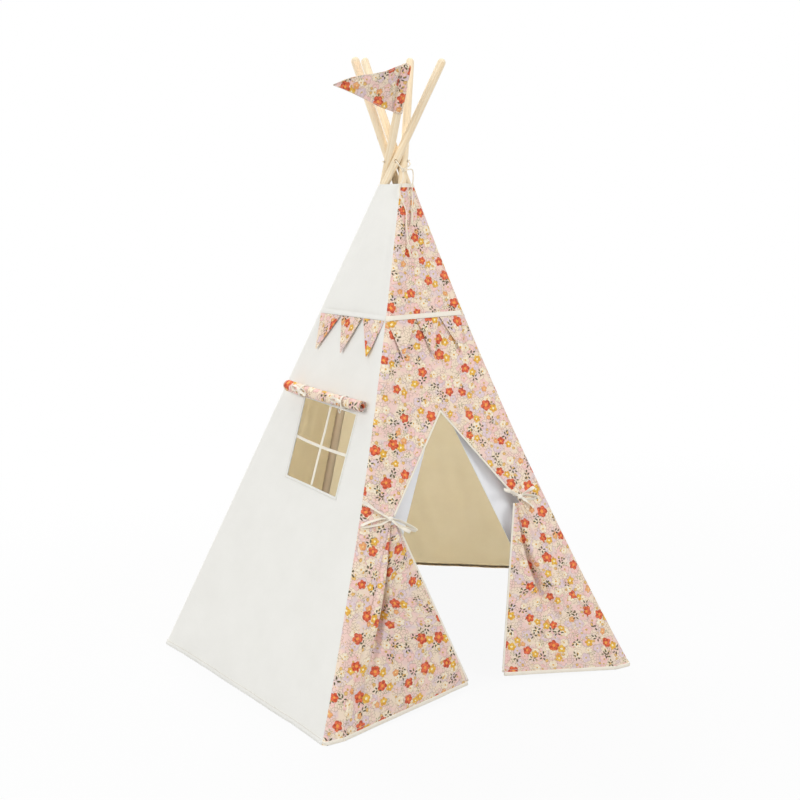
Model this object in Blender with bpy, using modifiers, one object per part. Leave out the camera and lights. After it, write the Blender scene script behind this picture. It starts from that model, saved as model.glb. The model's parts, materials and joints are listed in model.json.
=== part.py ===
"""A children's play teepee: five pine poles laced together near the top, cotton walls on pole sleeves,
a tied-back door, a window under a rolled blind, bunting and a small flag.

Metres, +Z up. The door faces -Y and the tent stands on z = 0, centred on the origin.
"""

import math
from dataclasses import dataclass, field

import bmesh
import bpy
from mathutils import Matrix, Vector

# Poles: five equal dowels whose feet stand on a pentagon with one wide side, the door's
POLE_LENGTH = 1.80
POLE_DIAMETER = 0.022
CROSSING_HEIGHT = 1.352
DOOR_BASE = 0.870
WALL_BASE = 0.761
WIDEST = 1.230
DOOR_TO_CROSSING = 0.459
FRONT_LEFT_BOW = 0.022
FRONT_RIGHT_BOW = 0.034
LACE_HOLE_DIAMETER = 0.009
FOLDED_TILT = math.radians(8.0)

# Clearances
GAP = 0.0003
POLE_GAP = 0.0003
TRIM_GAP = 0.0005
FLAP_GAP = 0.0014
SLEEVE_GAP = 0.0006
LIFT_GAP = 0.0009
CUT_OVERRUN = 0.03

# Cloth and its sleeves
CLOTH = 0.0015
SLEEVE_CLOTH = 0.0012
SLEEVE_CLEARANCE = 0.0008
CLOTH_TOP_DROP = 0.060
SLEEVE_TOP_DROP = 0.110
HEM_HEIGHT = 0.010
HEM_THICKNESS = 0.003
BINDING_WIDTH = 0.005
BINDING_THICKNESS = 0.0026

# Door: slit apex, ties, fold lines and the free corners of the two flaps
APEX_HEIGHT = 0.715
TIE_HEIGHT = 0.476
TIE_REACH = 0.183
FOLD_FOOT_REACH = 0.400
FLAP_CORNER_LIFT = 0.015
FLAP_CORNER_SETBACK = 0.078
LEFT_CORNER_REACH = 0.014
RIGHT_CORNER_REACH = 0.098
LEFT_FOLD_DEPTH = 0.026
RIGHT_FOLD_DEPTH = 0.014
FLAP_TOP_SHARE = 0.955
FOLD_PEAK_SHARE = 1.5
FOLD_WIDTH_SHARE = 0.26
SWELL_WIDTH_SHARE = 0.50
SWELL_SHARE = 0.35
LINING_APEX_REACH = 0.0145
LINING_FOOT_REACH = 0.315
LINING_FOOT_SETBACK = 0.095
FLAP_SWING = math.radians(50.0)

# Window in the left wall, with its cross bars and the blind rolled up above it
WINDOW_WIDTH = 0.209
WINDOW_SILL = 0.520
WINDOW_TOP = 0.722
WINDOW_SHIFT = 0.0235
WINDOW_SKEW = math.radians(5.5)
WINDOW_BINDING = 0.007
BAR_WIDTH = 0.008
BAR_THICKNESS = 0.0005
BLIND_LENGTH = 0.300
BLIND_HEIGHT = 0.7475
BLIND_SLOPE = math.radians(4.0)
BLIND_SHIFT = 0.0
BLIND_RADIUS = 0.0160
BLIND_CLOTH = 0.0011
BLIND_LAYER_GAP = 0.0016
BLIND_TURNS = 3.6
BLIND_TIES = (-0.079, 0.085)
BLIND_SAG = 0.002

# Bunting on the left, front and right walls
BUNTING_HEIGHT = 0.957
BUNTING_LEFT_RISE = 0.009
BUNTING_BAND = 0.012
BUNTING_CLOTH = 0.0011
PENNANTS = 3
PENNANT_DROP = 0.092
PENNANT_INSET = 0.004
PENNANT_TIP = 0.003
PENNANT_SWING = math.radians(100.0)

# Flag on the back pole
FLAG_HOIST = 0.125
FLAG_FLY = 0.190
FLAG_BELOW_TIP = 0.001
FLAG_CLOTH = 0.0011
FLAG_WAVE = 0.007
FLAG_LIFT_SHARE = 0.05
FLAG_SWING = math.radians(110.0)

# Lacing cord through the poles, its knot and its two tails
# The points are chosen by hand and count from the crossing: across, back and up, or across and up on the cloth
CORD_DIAMETER = 0.0034
LACE_SWING_SHARE = 1.2
LACE_KNOT = 0.012
TAIL_KNOT = 0.0100
TAIL_KNOT_LENGTH = 0.013
KNOT_SHIFT = (-0.0006, -0.0437, -0.0240)
KNOT_TO_LEFT = [(-0.0085, -0.0457, -0.0170), (-0.0155, -0.0417, -0.0060)]
RIGHT_TO_KNOT = [(0.0235, -0.0372, -0.0090), (0.0120, -0.0427, -0.0170)]
LONG_TAIL_TOP = [(-0.0012, -0.0452, -0.0290), (-0.0040, -0.0507, -0.0380), (-0.0073, -0.0552, -0.0490)]
LONG_TAIL_ON_CLOTH = [
    (-0.0096, -0.0684),
    (-0.0153, -0.0920),
    (-0.0128, -0.1308),
    (-0.0170, -0.1620),
    (-0.0191, -0.1920),
    (-0.0196, -0.2238),
    (-0.0152, -0.2539),
]
SHORT_TAIL_TOP = [
    (0.0046, -0.0462, -0.0255),
    (0.0140, -0.0502, -0.0225),
    (0.0245, -0.0482, -0.0240),
    (0.0280, -0.0462, -0.0360),
    (0.0262, -0.0487, -0.0490),
]
SHORT_TAIL_ON_CLOTH = [(0.0220, -0.0720), (0.0165, -0.1020), (0.0105, -0.1300), (0.0000, -0.1700)]

# Ribbon ties
RIBBON_WIDTH = 0.009
RIBBON_THICKNESS = 0.0012
BOW_KNOT = 0.0135
BOW_LIFT = 0.0045
DOOR_BOW_SEAT_SHARE = 0.72
LOOP_START_SHARE = 0.08

# Colours, linear
PINE = (0.80, 0.60, 0.38)
WHITE_COTTON = (0.84, 0.83, 0.80)
BEIGE_COTTON = (0.58, 0.43, 0.25)
FLORAL_COTTON = (0.82, 0.52, 0.42)
CREAM_TAPE = (0.88, 0.80, 0.68)
CORD_CREAM = (0.84, 0.76, 0.62)

# Facet counts
POLE_SIDES_RESOLUTION = 6
BOWED_RINGS = 16
PANEL_ACROSS = 5
PANEL_ROWS = 12
FLAP_ACROSS = 16
FLAP_ROWS = 14
DOOR_CUT_STEPS = 8
SLIT_STEPS = 4

SLEEVE_RADIUS = POLE_DIAMETER / 2 + SLEEVE_CLEARANCE
SLEEVE_OUTSIDE = SLEEVE_RADIUS + SLEEVE_CLOTH
CLOTH_OFFSET = SLEEVE_OUTSIDE + SLEEVE_GAP + CLOTH / 2
CLOTH_TOP = CROSSING_HEIGHT - CLOTH_TOP_DROP
SLEEVE_TOP = CROSSING_HEIGHT - SLEEVE_TOP_DROP
UP = Vector((0.0, 0.0, 1.0))
IDENTITY = (Vector((1.0, 0.0, 0.0)), Vector((0.0, 1.0, 0.0)), UP)

tent = bpy.data.collections.new("play_teepee")
cutters = bpy.data.collections.new("cutters")


def clear_scene():
    """Empties the scene and links the two collections."""
    for obj in list(bpy.data.objects):
        bpy.data.objects.remove(obj, do_unlink=True)
    bpy.context.scene.collection.children.link(tent)
    bpy.context.scene.collection.children.link(cutters)
    cutters.hide_render = True


def material(name, colour, roughness):
    """A plain finish for one sub-part."""
    made = bpy.data.materials.new(name)
    made.use_nodes = True
    shader = made.node_tree.nodes["Principled BSDF"]
    shader.inputs["Base Color"].default_value = (*colour, 1.0)
    shader.inputs["Roughness"].default_value = roughness
    shader.inputs["Metallic"].default_value = 0.0
    return made


# Frame of five leaning poles


@dataclass
class Pole:
    """One pole: its foot, the point where the lace passes through it, and the axes it folds about."""

    name: str
    foot: Vector
    waist: Vector
    radial: Vector
    tangent: Vector
    bow: Vector = field(default_factory=Vector)

    def __post_init__(self):
        self.reach = (self.waist - self.foot).length
        self.rise = (self.waist - self.foot).normalized()
        self.tilt = math.acos(self.rise.z)

    def along(self, distance):
        """The point of the axis at this distance from the foot, with the pole's gentle bow."""
        share = distance / self.reach
        return self.foot + self.rise * distance + self.bow * (4 * share * (1 - share))

    def at(self, height):
        """The point of the axis at this height."""
        return self.along(height / self.rise.z)

    def heading(self, height):
        """The direction of the axis at this height, up the pole."""
        share = height / self.rise.z / self.reach
        return (self.rise + self.bow * (4 * (1 - 2 * share) / self.reach)).normalized()


def pentagon():
    """The feet, by name, with the origin under the middle of the tent."""
    side = math.sqrt(WALL_BASE**2 - (WIDEST / 2 - DOOR_BASE / 2) ** 2)
    back = side + math.sqrt(WALL_BASE**2 - (WIDEST / 2) ** 2)
    front = -back / 2
    return {
        "front_left": Vector((-DOOR_BASE / 2, front, 0)),
        "front_right": Vector((DOOR_BASE / 2, front, 0)),
        "right": Vector((WIDEST / 2, front + side, 0)),
        "back": Vector((0, front + back, 0)),
        "left": Vector((-WIDEST / 2, front + side, 0)),
    }


def leaned(name, foot, crossing, offset):
    """A pole from its foot past the crossing, which it passes on one side by the offset."""
    away = foot - crossing
    away.z = 0
    turn = math.asin(offset / away.length)
    radial = Matrix.Rotation(-turn, 3, "Z") @ away.normalized()
    tangent = UP.cross(radial)
    return Pole(name, foot, crossing + tangent * offset, radial, tangent)


def crossing_offset(feet, crossing):
    """How far each axis passes from the middle, so that neighbouring poles just clear each other."""
    names = list(feet)
    offset = POLE_DIAMETER
    for _ in range(3):
        poles = [leaned(name, feet[name], crossing, offset) for name in names]
        least = min(
            abs((one.waist - two.waist).dot(one.rise.cross(two.rise).normalized()))
            for one, two in zip(poles, poles[1:] + poles[:1])
        )
        offset *= (POLE_DIAMETER + POLE_GAP) / least
    return offset


def standing_poles():
    """The five poles, clockwise from the front left as seen from below."""
    feet = pentagon()
    crossing = Vector((0, feet["front_left"].y + DOOR_TO_CROSSING, CROSSING_HEIGHT))
    offset = crossing_offset(feet, crossing)
    poles = {name: leaned(name, foot, crossing, offset) for name, foot in feet.items()}
    poles["front_left"].bow = Vector((FRONT_LEFT_BOW, 0, 0))
    poles["front_right"].bow = Vector((-FRONT_RIGHT_BOW, 0, 0))
    return crossing, offset, poles


# Cloth walls, each a ruled surface from pole to pole


@dataclass
class Wall:
    """The cloth surface between two poles.

    Heights are above the floor, and out is measured from the middle of the cloth's thickness.
    """

    name: str
    first: Pole
    second: Pole

    def normal(self, height):
        across = self.second.at(height) - self.first.at(height)
        slope = self.first.heading(height) + self.second.heading(height)
        found = across.cross(slope).normalized()
        outwards = self.first.radial + self.second.radial
        return found if found.dot(outwards) > 0 else -found

    def width(self, height):
        return (self.point(1, height) - self.point(0, height)).length

    def point(self, share, height, out=0.0):
        """The point this share of the way across at this height."""
        lift = self.normal(height) * (CLOTH_OFFSET + out)
        base = height - lift.z
        return self.first.at(base).lerp(self.second.at(base), share) + lift

    def at(self, along, height, out=0.0):
        """The point this far from the wall's centre line, towards the second pole."""
        return self.point(0.5 + along / self.width(height), height, out)

    def at_x(self, x, height, out=0.0):
        """The point with this X, on a wall that faces the front."""
        one = self.point(0, height).x
        two = self.point(1, height).x
        return self.point((x - one) / (two - one), height, out)


# Mesh helpers


def add(name, mesh, finish, collection=None):
    """Links a mesh as one named sub-part."""
    obj = bpy.data.objects.new(name, mesh)
    (collection or tent).objects.link(obj)
    if finish:
        mesh.materials.append(finish)
    return obj


def mesh_of(name, bm):
    """The bmesh as a mesh with its faces pointing out."""
    bmesh.ops.recalc_face_normals(bm, faces=bm.faces)
    mesh = bpy.data.meshes.new(name)
    bm.to_mesh(mesh)
    bm.free()
    return mesh


def solidify(obj, thickness, offset=0.0):
    """Gives an open sheet its thickness."""
    made = obj.modifiers.new("thickness", "SOLIDIFY")
    made.thickness = thickness
    made.offset = offset
    made.use_even_offset = True


def boolean(obj, tool, operation):
    """Cuts or joins with a helper that isn't part of the tent."""
    made = obj.modifiers.new(f"{operation.lower()}_{tool.name}", "BOOLEAN")
    made.operation = operation
    made.object = tool
    made.solver = "EXACT"


def as_cutter(obj):
    """Marks a helper, which the render leaves out."""
    obj.hide_render = True
    obj.display_type = "WIRE"
    return obj


def join_tool(obj):
    """Moves a finished lump among the helpers, to be joined to another piece."""
    tent.objects.unlink(obj)
    cutters.objects.link(obj)
    return as_cutter(obj)


def grid(across, rows, place):
    """A grid whose point (u, v), each from 0 to 1, lies at place(u, v)."""
    bm = bmesh.new()
    bmesh.ops.create_grid(bm, x_segments=across, y_segments=rows, size=0.5)
    for vertex in bm.verts:
        vertex.co = place(vertex.co.x + 0.5, vertex.co.y + 0.5)
    return bm


def sheet(name, across, rows, place, thickness, finish, collection=None):
    """A sheet of cloth on the points of place(u, v)."""
    obj = add(name, mesh_of(name, grid(across, rows, place)), finish, collection)
    solidify(obj, thickness)
    return obj


def smooth_route(points, steps):
    """Points of a smooth curve through the given points, steps to each span."""
    ends = [points[0] * 2 - points[1], *points, points[-1] * 2 - points[-2]]
    route = []
    for a, b, c, d in zip(ends, ends[1:], ends[2:], ends[3:]):
        for step in range(steps):
            t = step / steps
            route.append(
                (b * 2 + (c - a) * t + (a * 2 - b * 5 + c * 4 - d) * t**2 + (b * 3 - a - c * 3 + d) * t**3) / 2
            )
    route.append(points[-1])
    return route


def tube(name, route, radius, finish, resolution=2, widths=None, caps=True):
    """A round bar or tube along a route, as a mesh. Widths, if given, scale the radius at each point."""
    curve = bpy.data.curves.new(name, "CURVE")
    curve.dimensions = "3D"
    curve.bevel_depth = radius
    curve.bevel_resolution = resolution
    curve.use_fill_caps = caps
    spline = curve.splines.new("POLY")
    spline.points.add(len(route) - 1)
    for n, point in enumerate(route):
        spline.points[n].co = (*point, 1.0)
        spline.points[n].radius = widths[n] if widths else 1.0
    guide = bpy.data.objects.new(name + "_curve", curve)
    cutters.objects.link(guide)
    bpy.context.view_layer.update()
    mesh = bpy.data.meshes.new_from_object(guide.evaluated_get(bpy.context.evaluated_depsgraph_get()))
    bpy.data.objects.remove(guide, do_unlink=True)
    bm = bmesh.new()
    bm.from_mesh(mesh)
    bpy.data.meshes.remove(mesh)
    bmesh.ops.remove_doubles(bm, verts=bm.verts, dist=radius / 1000)
    return add(name, mesh_of(name, bm), finish)


def cut_level(obj, height, fill):
    """Cuts away what lies below this height, and closes the cut where it is asked to."""
    bm = bmesh.new()
    bm.from_mesh(obj.data)
    found = bmesh.ops.bisect_plane(
        bm,
        geom=bm.verts[:] + bm.edges[:] + bm.faces[:],
        plane_co=(0, 0, height),
        plane_no=-UP,
        clear_outer=True,
    )
    if fill:
        edges = [item for item in found["geom_cut"] if isinstance(item, bmesh.types.BMEdge)]
        bmesh.ops.edgeloop_fill(bm, edges=edges)
    bmesh.ops.recalc_face_normals(bm, faces=bm.faces)
    bm.to_mesh(obj.data)
    bm.free()


def smooth_shaded(obj, degrees=35.0):
    obj.data.shade_smooth()
    obj.data.set_sharp_from_angle(angle=math.radians(degrees))


def rod(name, start, end, radius, sides=24):
    """A plain cylinder between two points, as a cutter."""
    bm = bmesh.new()
    run = end - start
    turn = run.to_track_quat("Z", "Y").to_matrix().to_4x4()
    middle = Matrix.Translation((start + end) / 2)
    bmesh.ops.create_cone(
        bm,
        cap_ends=True,
        segments=sides,
        radius1=radius,
        radius2=radius,
        depth=run.length,
        matrix=middle @ turn,
    )
    return as_cutter(add(name, mesh_of(name, bm), None, cutters))


def loft(bm, rings):
    """Joins rings of four corners, and closes both ends."""
    for one, two in zip(rings, rings[1:]):
        for k in range(4):
            bm.faces.new((one[k], one[(k + 1) % 4], two[(k + 1) % 4], two[k]))
    bm.faces.new(rings[0][::-1])
    bm.faces.new(rings[-1])


def strip(bm, route, sides, width, thickness):
    """Adds a flat band along a route. Sides gives the direction of its width at each point."""
    rings = []
    for n, point in enumerate(route):
        before = route[max(n - 1, 0)]
        after = route[min(n + 1, len(route) - 1)]
        heading = (after - before).normalized()
        side = sides[n] if isinstance(sides, list) else sides
        side = (side - heading * side.dot(heading)).normalized() * width / 2
        face = heading.cross(side).normalized() * thickness / 2
        ring = [point - side - face, point + side - face, point + side + face, point - side + face]
        rings.append([bm.verts.new(corner) for corner in ring])
    loft(bm, rings)


def band(name, route, sides, width, thickness, finish, collection=None):
    """A flat band, such as a binding or a ribbon, as one sub-part."""
    bm = bmesh.new()
    strip(bm, route, sides, width, thickness)
    return add(name, mesh_of(name, bm), finish, collection)


def pad(name, centre, axes, sizes, finish):
    """A soft rounded lump, such as a knot: a cube with its corners smoothed away."""
    bm = bmesh.new()
    turn = Matrix(axes).transposed().to_4x4()
    shape = Matrix.Diagonal((*sizes, 1.0))
    bmesh.ops.create_cube(bm, size=1.0, matrix=Matrix.Translation(centre) @ turn @ shape)
    obj = add(name, mesh_of(name, bm), finish)
    made = obj.modifiers.new("rounding", "SUBSURF")
    made.levels = 2
    made.render_levels = 2
    return obj


# Poles and sleeves


def make_pole(pole, finish):
    """A dowel with a rounded top, its foot sawn level with the floor, drilled for the lace."""
    radius = POLE_DIAMETER / 2
    straight = POLE_LENGTH - radius
    rings = BOWED_RINGS if pole.bow.length else 1
    sunk = -POLE_DIAMETER
    distances = [sunk + (straight - sunk) * n / rings for n in range(rings + 1)]
    widths = [1.0] * len(distances)
    for step in (0.25, 0.5, 0.75, 0.95):
        distances.append(straight + radius * math.sin(step * math.pi / 2))
        widths.append(math.cos(step * math.pi / 2))
    route = [pole.along(distance) for distance in distances]
    obj = tube("pole_" + pole.name, route, radius, finish, POLE_SIDES_RESOLUTION, widths)
    cut_level(obj, 0.0, fill=True)
    reach = pole.tangent * POLE_DIAMETER
    hole = rod("hole_" + pole.name, pole.waist - reach, pole.waist + reach, LACE_HOLE_DIAMETER / 2, 16)
    boolean(obj, hole, "DIFFERENCE")
    smooth_shaded(obj)
    return obj


def make_sleeve(pole, finish):
    """The cloth tunnel that the pole stands in, open at both ends."""
    rings = BOWED_RINGS if pole.bow.length else 1
    top = SLEEVE_TOP / pole.rise.z
    sunk = -POLE_DIAMETER
    route = [pole.along(sunk + (top - sunk) * n / rings) for n in range(rings + 1)]
    obj = tube("sleeve_" + pole.name, route, SLEEVE_RADIUS, finish, POLE_SIDES_RESOLUTION, caps=False)
    cut_level(obj, SLEEVE_CLOTH, fill=False)
    solidify(obj, SLEEVE_CLOTH, 1.0)
    smooth_shaded(obj)
    return obj


# Walls, hems and linings


def wall_height(v, bottom):
    """Rows lie closer together towards the top, where the cloth twists round the crossing."""
    return bottom + (CLOTH_TOP - bottom) * (1 - (1 - v) ** 1.6)


def make_wall(wall, finish, bottom=HEM_HEIGHT + GAP + CLOTH / 2):
    """The cloth of one side of the tent."""
    return sheet(
        wall.name,
        PANEL_ACROSS,
        PANEL_ROWS,
        lambda u, v: wall.point(u, wall_height(v, bottom)),
        CLOTH,
        finish,
    )


def make_hem(name, wall, finish):
    """The turned cream hem along the foot of a wall, standing on the floor."""
    inner = -CLOTH / 2
    outer = inner + HEM_THICKNESS
    section = [(0.0, inner), (0.0, outer), (HEM_HEIGHT, outer), (HEM_HEIGHT, inner)]
    bm = bmesh.new()
    ends = [[bm.verts.new(wall.point(share, *corner)) for corner in section] for share in (0, 1)]
    loft(bm, ends)
    return add(name, mesh_of(name, bm), finish)


def wall_cutter(name, wall, outline, place):
    """A block through the wall with the given outline, for a Boolean."""
    bm = bmesh.new()
    inner = [bm.verts.new(place(wall, *corner, -CUT_OVERRUN)) for corner in outline]
    outer = [bm.verts.new(place(wall, *corner, CUT_OVERRUN)) for corner in outline]
    bm.faces.new(inner[::-1])
    bm.faces.new(outer)
    for n in range(len(outline)):
        after = (n + 1) % len(outline)
        bm.faces.new((inner[n], inner[after], outer[after], outer[n]))
    return as_cutter(add(name, mesh_of(name, bm), None, cutters))


def fold_reach(height):
    """How far the fold line, which the free flap turns back about, is from the middle."""
    return FOLD_FOOT_REACH + (TIE_REACH - FOLD_FOOT_REACH) * height / TIE_HEIGHT


def slit_point(share):
    """How far from the middle and how high the slit's edge is, this share of the way from apex to tie."""
    return TIE_REACH * share, APEX_HEIGHT + (TIE_HEIGHT - APEX_HEIGHT) * share


def on_fold(front, side, height):
    return front.at_x(side * fold_reach(height), height)


def door_points(front, side):
    """Tie, foot of the fold line and free corner of one half of the door. Side is -1 or 1."""
    corner_reach = LEFT_CORNER_REACH if side < 0 else RIGHT_CORNER_REACH
    level = HEM_HEIGHT + 2 * GAP
    corner = front.at_x(side * corner_reach, level + FLAP_CORNER_LIFT)
    corner += Vector((0, FLAP_CORNER_SETBACK, 0))
    return on_fold(front, side, TIE_HEIGHT), on_fold(front, side, level), corner


def make_front(front, finish):
    """The printed front: one cloth from pole to pole with the door cut out, down to the floor at the poles."""
    obj = make_wall(front, finish, CLOTH / 2)
    levels = [TIE_HEIGHT * n / DOOR_CUT_STEPS for n in range(DOOR_CUT_STEPS, -1, -1)]
    levels.append(-CUT_OVERRUN)
    right_edge = [(fold_reach(level), level) for level in levels]
    left_edge = [(-reach, level) for reach, level in reversed(right_edge)]
    slit = [slit_point(n / SLIT_STEPS) for n in range(SLIT_STEPS)]
    left_slit = [(-reach, level) for reach, level in reversed(slit[1:])]
    outline = [*slit, *right_edge, *left_edge, *left_slit]
    door = wall_cutter("door_cut", front, outline, Wall.at_x)
    boolean(obj, door, "DIFFERENCE")
    return obj


def flap_point(front, side, u, v):
    """The flap hangs from its tie: a deep fold beside the fold line, then a soft swell."""
    tie, fold_foot, corner = door_points(front, side)
    depth = LEFT_FOLD_DEPTH if side < 0 else RIGHT_FOLD_DEPTH
    height = v * FLAP_TOP_SHARE
    inner = on_fold(front, side, fold_foot.z + (tie.z - fold_foot.z) * height)
    outer = corner.lerp(tie, height)
    run = (outer - inner).normalized()
    spot = (inner + run * FLAP_GAP).lerp(outer, u)
    facing = (corner - fold_foot).cross(tie - fold_foot).normalized()
    facing = facing if facing.y < 0 else -facing
    fade = math.sin(math.pi * height**FOLD_PEAK_SHARE) ** 2
    if u < FOLD_WIDTH_SHARE:
        wave = -math.sin(math.pi * u / FOLD_WIDTH_SHARE) ** 2
    elif u < FOLD_WIDTH_SHARE + SWELL_WIDTH_SHARE:
        wave = SWELL_SHARE * math.sin(math.pi * (u - FOLD_WIDTH_SHARE) / SWELL_WIDTH_SHARE) ** 2
    else:
        wave = 0.0
    return spot + facing * (depth * fade * wave)


def make_flap(front, side, cloth, tape):
    """One free flap below the tie, with its binding down the slit edge and its hem."""
    name = "left" if side < 0 else "right"
    flap = sheet(
        "door_flap_" + name,
        FLAP_ACROSS,
        FLAP_ROWS,
        lambda u, v: flap_point(front, side, u, v),
        CLOTH,
        cloth,
    )
    tie, fold_foot, corner = door_points(front, side)
    along = (tie - corner).normalized()
    out = (corner - fold_foot).normalized()
    out = (out - along * out.dot(along)).normalized()
    shift = out * (TRIM_GAP + BINDING_WIDTH / 2)
    top = corner.lerp(tie, FLAP_TOP_SHARE)
    edge = band("flap_binding_" + name, [corner + shift, top + shift], out, BINDING_WIDTH, BINDING_THICKNESS, tape)
    down = (fold_foot - tie).normalized()
    run = (corner - fold_foot).normalized()
    down = (down - run * down.dot(run)).normalized()
    drop = down * (GAP + HEM_HEIGHT / 2)
    start = fold_foot + run * FLAP_GAP
    hem = band("flap_hem_" + name, [start + drop, corner + drop], down, HEM_HEIGHT, HEM_THICKNESS, tape)
    return [flap, edge, hem]


def make_slit_binding(front, side, finish):
    """The cream tape on the slit edge between the apex and the tie."""
    name = "left" if side < 0 else "right"
    slant = Vector((-side * (APEX_HEIGHT - TIE_HEIGHT), TIE_REACH))
    slant.normalize()
    shift = SLEEVE_GAP + BINDING_WIDTH / 2
    route = []
    for n in range(SLIT_STEPS + 1):
        reach, height = slit_point(n / SLIT_STEPS)
        route.append(front.at_x(side * reach + slant.x * shift, height - slant.y * shift))
    start = route[0].lerp(route[-1], (BINDING_WIDTH + GAP) / (APEX_HEIGHT - TIE_HEIGHT) * 1.6)
    facing = front.normal((APEX_HEIGHT + TIE_HEIGHT) / 2)
    side_way = facing.cross(route[-1] - route[0])
    return band("slit_binding_" + name, [start, *route[1:]], side_way, BINDING_WIDTH, BINDING_THICKNESS, finish)


def make_lining(front, side, finish):
    """The white inner curtain of one half of the door, which hangs straighter than the wall leans."""
    name = "left" if side < 0 else "right"
    pole = front.first if side < 0 else front.second
    behind = SLEEVE_OUTSIDE + 2 * GAP + CLOTH / 2
    top = front.at_x(side * LINING_APEX_REACH, APEX_HEIGHT, -(CLOTH + TRIM_GAP))
    foot = front.at_x(side * LINING_FOOT_REACH, CLOTH) + Vector((0, LINING_FOOT_SETBACK, 0))

    def place(u, v):
        free = foot.lerp(top, v)
        inwards = front.normal(free.z) * behind
        held = pole.at(free.z + inwards.z) - inwards
        return held.lerp(free, u)

    return sheet("door_lining_" + name, 4, 8, place, CLOTH, finish)


# Window, blind and its ties


def window_place(wall, along, height, out):
    """A point of the window, which the cloth has pulled a little out of square."""
    middle = (WINDOW_SILL + WINDOW_TOP) / 2
    rise = height - middle
    straight, aside = math.cos(WINDOW_SKEW), math.sin(WINDOW_SKEW)
    reach = along * straight - rise * aside + WINDOW_SHIFT
    return wall.at(reach, middle + rise * straight - along * aside, out)


def make_window(wall, cloth_wall, tape):
    """Cuts the window and adds its binding and the two cross bars."""
    half = WINDOW_WIDTH / 2
    outline = [(-half, WINDOW_SILL), (half, WINDOW_SILL), (half, WINDOW_TOP), (-half, WINDOW_TOP)]
    opening = wall_cutter("window_cut", wall, outline, window_place)
    boolean(cloth_wall, opening, "DIFFERENCE")
    return [frame_on_wall(wall, tape), *window_bars(wall, tape)]


def spread(low, high, border, count):
    """Grid lines: a border at each end and even steps between."""
    inner = [low + border + (high - low - 2 * border) * n / count for n in range(count + 1)]
    return [low, *inner, high]


def frame_on_wall(wall, tape):
    """The cream binding round the window, on the face of the wall."""
    half = WINDOW_WIDTH / 2 + WINDOW_BINDING
    columns = spread(-half, half, WINDOW_BINDING, 4)
    rows = spread(WINDOW_SILL - WINDOW_BINDING, WINDOW_TOP + WINDOW_BINDING, WINDOW_BINDING, 4)
    out = CLOTH / 2 + TRIM_GAP + BINDING_THICKNESS / 4
    bm = bmesh.new()
    dots = [[bm.verts.new(window_place(wall, x, z, out)) for x in columns] for z in rows]
    last = len(columns) - 2
    for i in range(len(rows) - 1):
        for j in range(len(columns) - 1):
            if i in (0, last) or j in (0, last):
                bm.faces.new((dots[i][j], dots[i][j + 1], dots[i + 1][j + 1], dots[i + 1][j]))
    loose = [vertex for vertex in bm.verts if not vertex.link_faces]
    bmesh.ops.delete(bm, geom=loose, context="VERTS")
    obj = add("window_binding", mesh_of("window_binding", bm), tape)
    solidify(obj, BINDING_THICKNESS / 2)
    return obj


def window_bars(wall, tape):
    """The two flat tapes that cross the window, the upright one behind the level one."""
    half = WINDOW_WIDTH / 2 - 2 * GAP
    low = WINDOW_SILL + 2 * GAP
    high = WINDOW_TOP - 2 * GAP
    middle = (WINDOW_SILL + WINDOW_TOP) / 2
    layer = BAR_THICKNESS / 2 + GAP / 2

    def upright(u, v):
        return window_place(wall, (u - 0.5) * BAR_WIDTH, low + (high - low) * v, -layer)

    def level(u, v):
        return window_place(wall, (u - 0.5) * 2 * half, middle + (v - 0.5) * BAR_WIDTH, layer)

    return [
        sheet("window_bar_upright", 1, 6, upright, BAR_THICKNESS, tape),
        sheet("window_bar_level", 6, 1, level, BAR_THICKNESS, tape),
    ]


def blind_axis(wall, along):
    """The middle of the rolled blind, which slopes and sags a little between its ends."""
    out = CLOTH / 2 + TRIM_GAP + BLIND_RADIUS
    share = along / (BLIND_LENGTH / 2)
    drop = BLIND_SAG * (1 - share**2) + along * math.sin(BLIND_SLOPE)
    return wall.at(along + BLIND_SHIFT, BLIND_HEIGHT - drop, out)


def make_blind(wall, finish):
    """The window's blind, a cloth rolled up on itself in a spiral."""
    turns = BLIND_TURNS
    steps = int(16 * turns)
    pitch = BLIND_CLOTH + BLIND_LAYER_GAP
    outer = BLIND_RADIUS - BLIND_CLOTH / 2
    normal = wall.normal(BLIND_HEIGHT)
    across = (blind_axis(wall, BLIND_LENGTH / 2) - blind_axis(wall, -BLIND_LENGTH / 2)).normalized()
    upward = across.cross(normal) if across.cross(normal).z > 0 else normal.cross(across)

    def place(u, v):
        angle = u * turns * 2 * math.pi
        radius = outer - pitch * u * turns
        centre = blind_axis(wall, (v - 0.5) * BLIND_LENGTH)
        return centre + (normal * -math.cos(angle) + upward * math.sin(angle)) * radius

    return sheet("rolled_blind", steps, 6, place, BLIND_CLOTH, finish)


# Ribbon bows


def loop_route(start, reach, rise, side):
    """A teardrop loop of ribbon from a knot and back."""
    turns = 9
    route = [start + reach * LOOP_START_SHARE + side * rise * 0.2]
    for n in range(1, turns):
        angle = math.pi * n / turns
        stretch = LOOP_START_SHARE + (1 - LOOP_START_SHARE) * math.sin(angle) ** 0.7
        route.append(start + reach * stretch + side * rise * math.cos(angle))
    route.append(start + reach * LOOP_START_SHARE - side * rise * 0.2)
    return route


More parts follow.
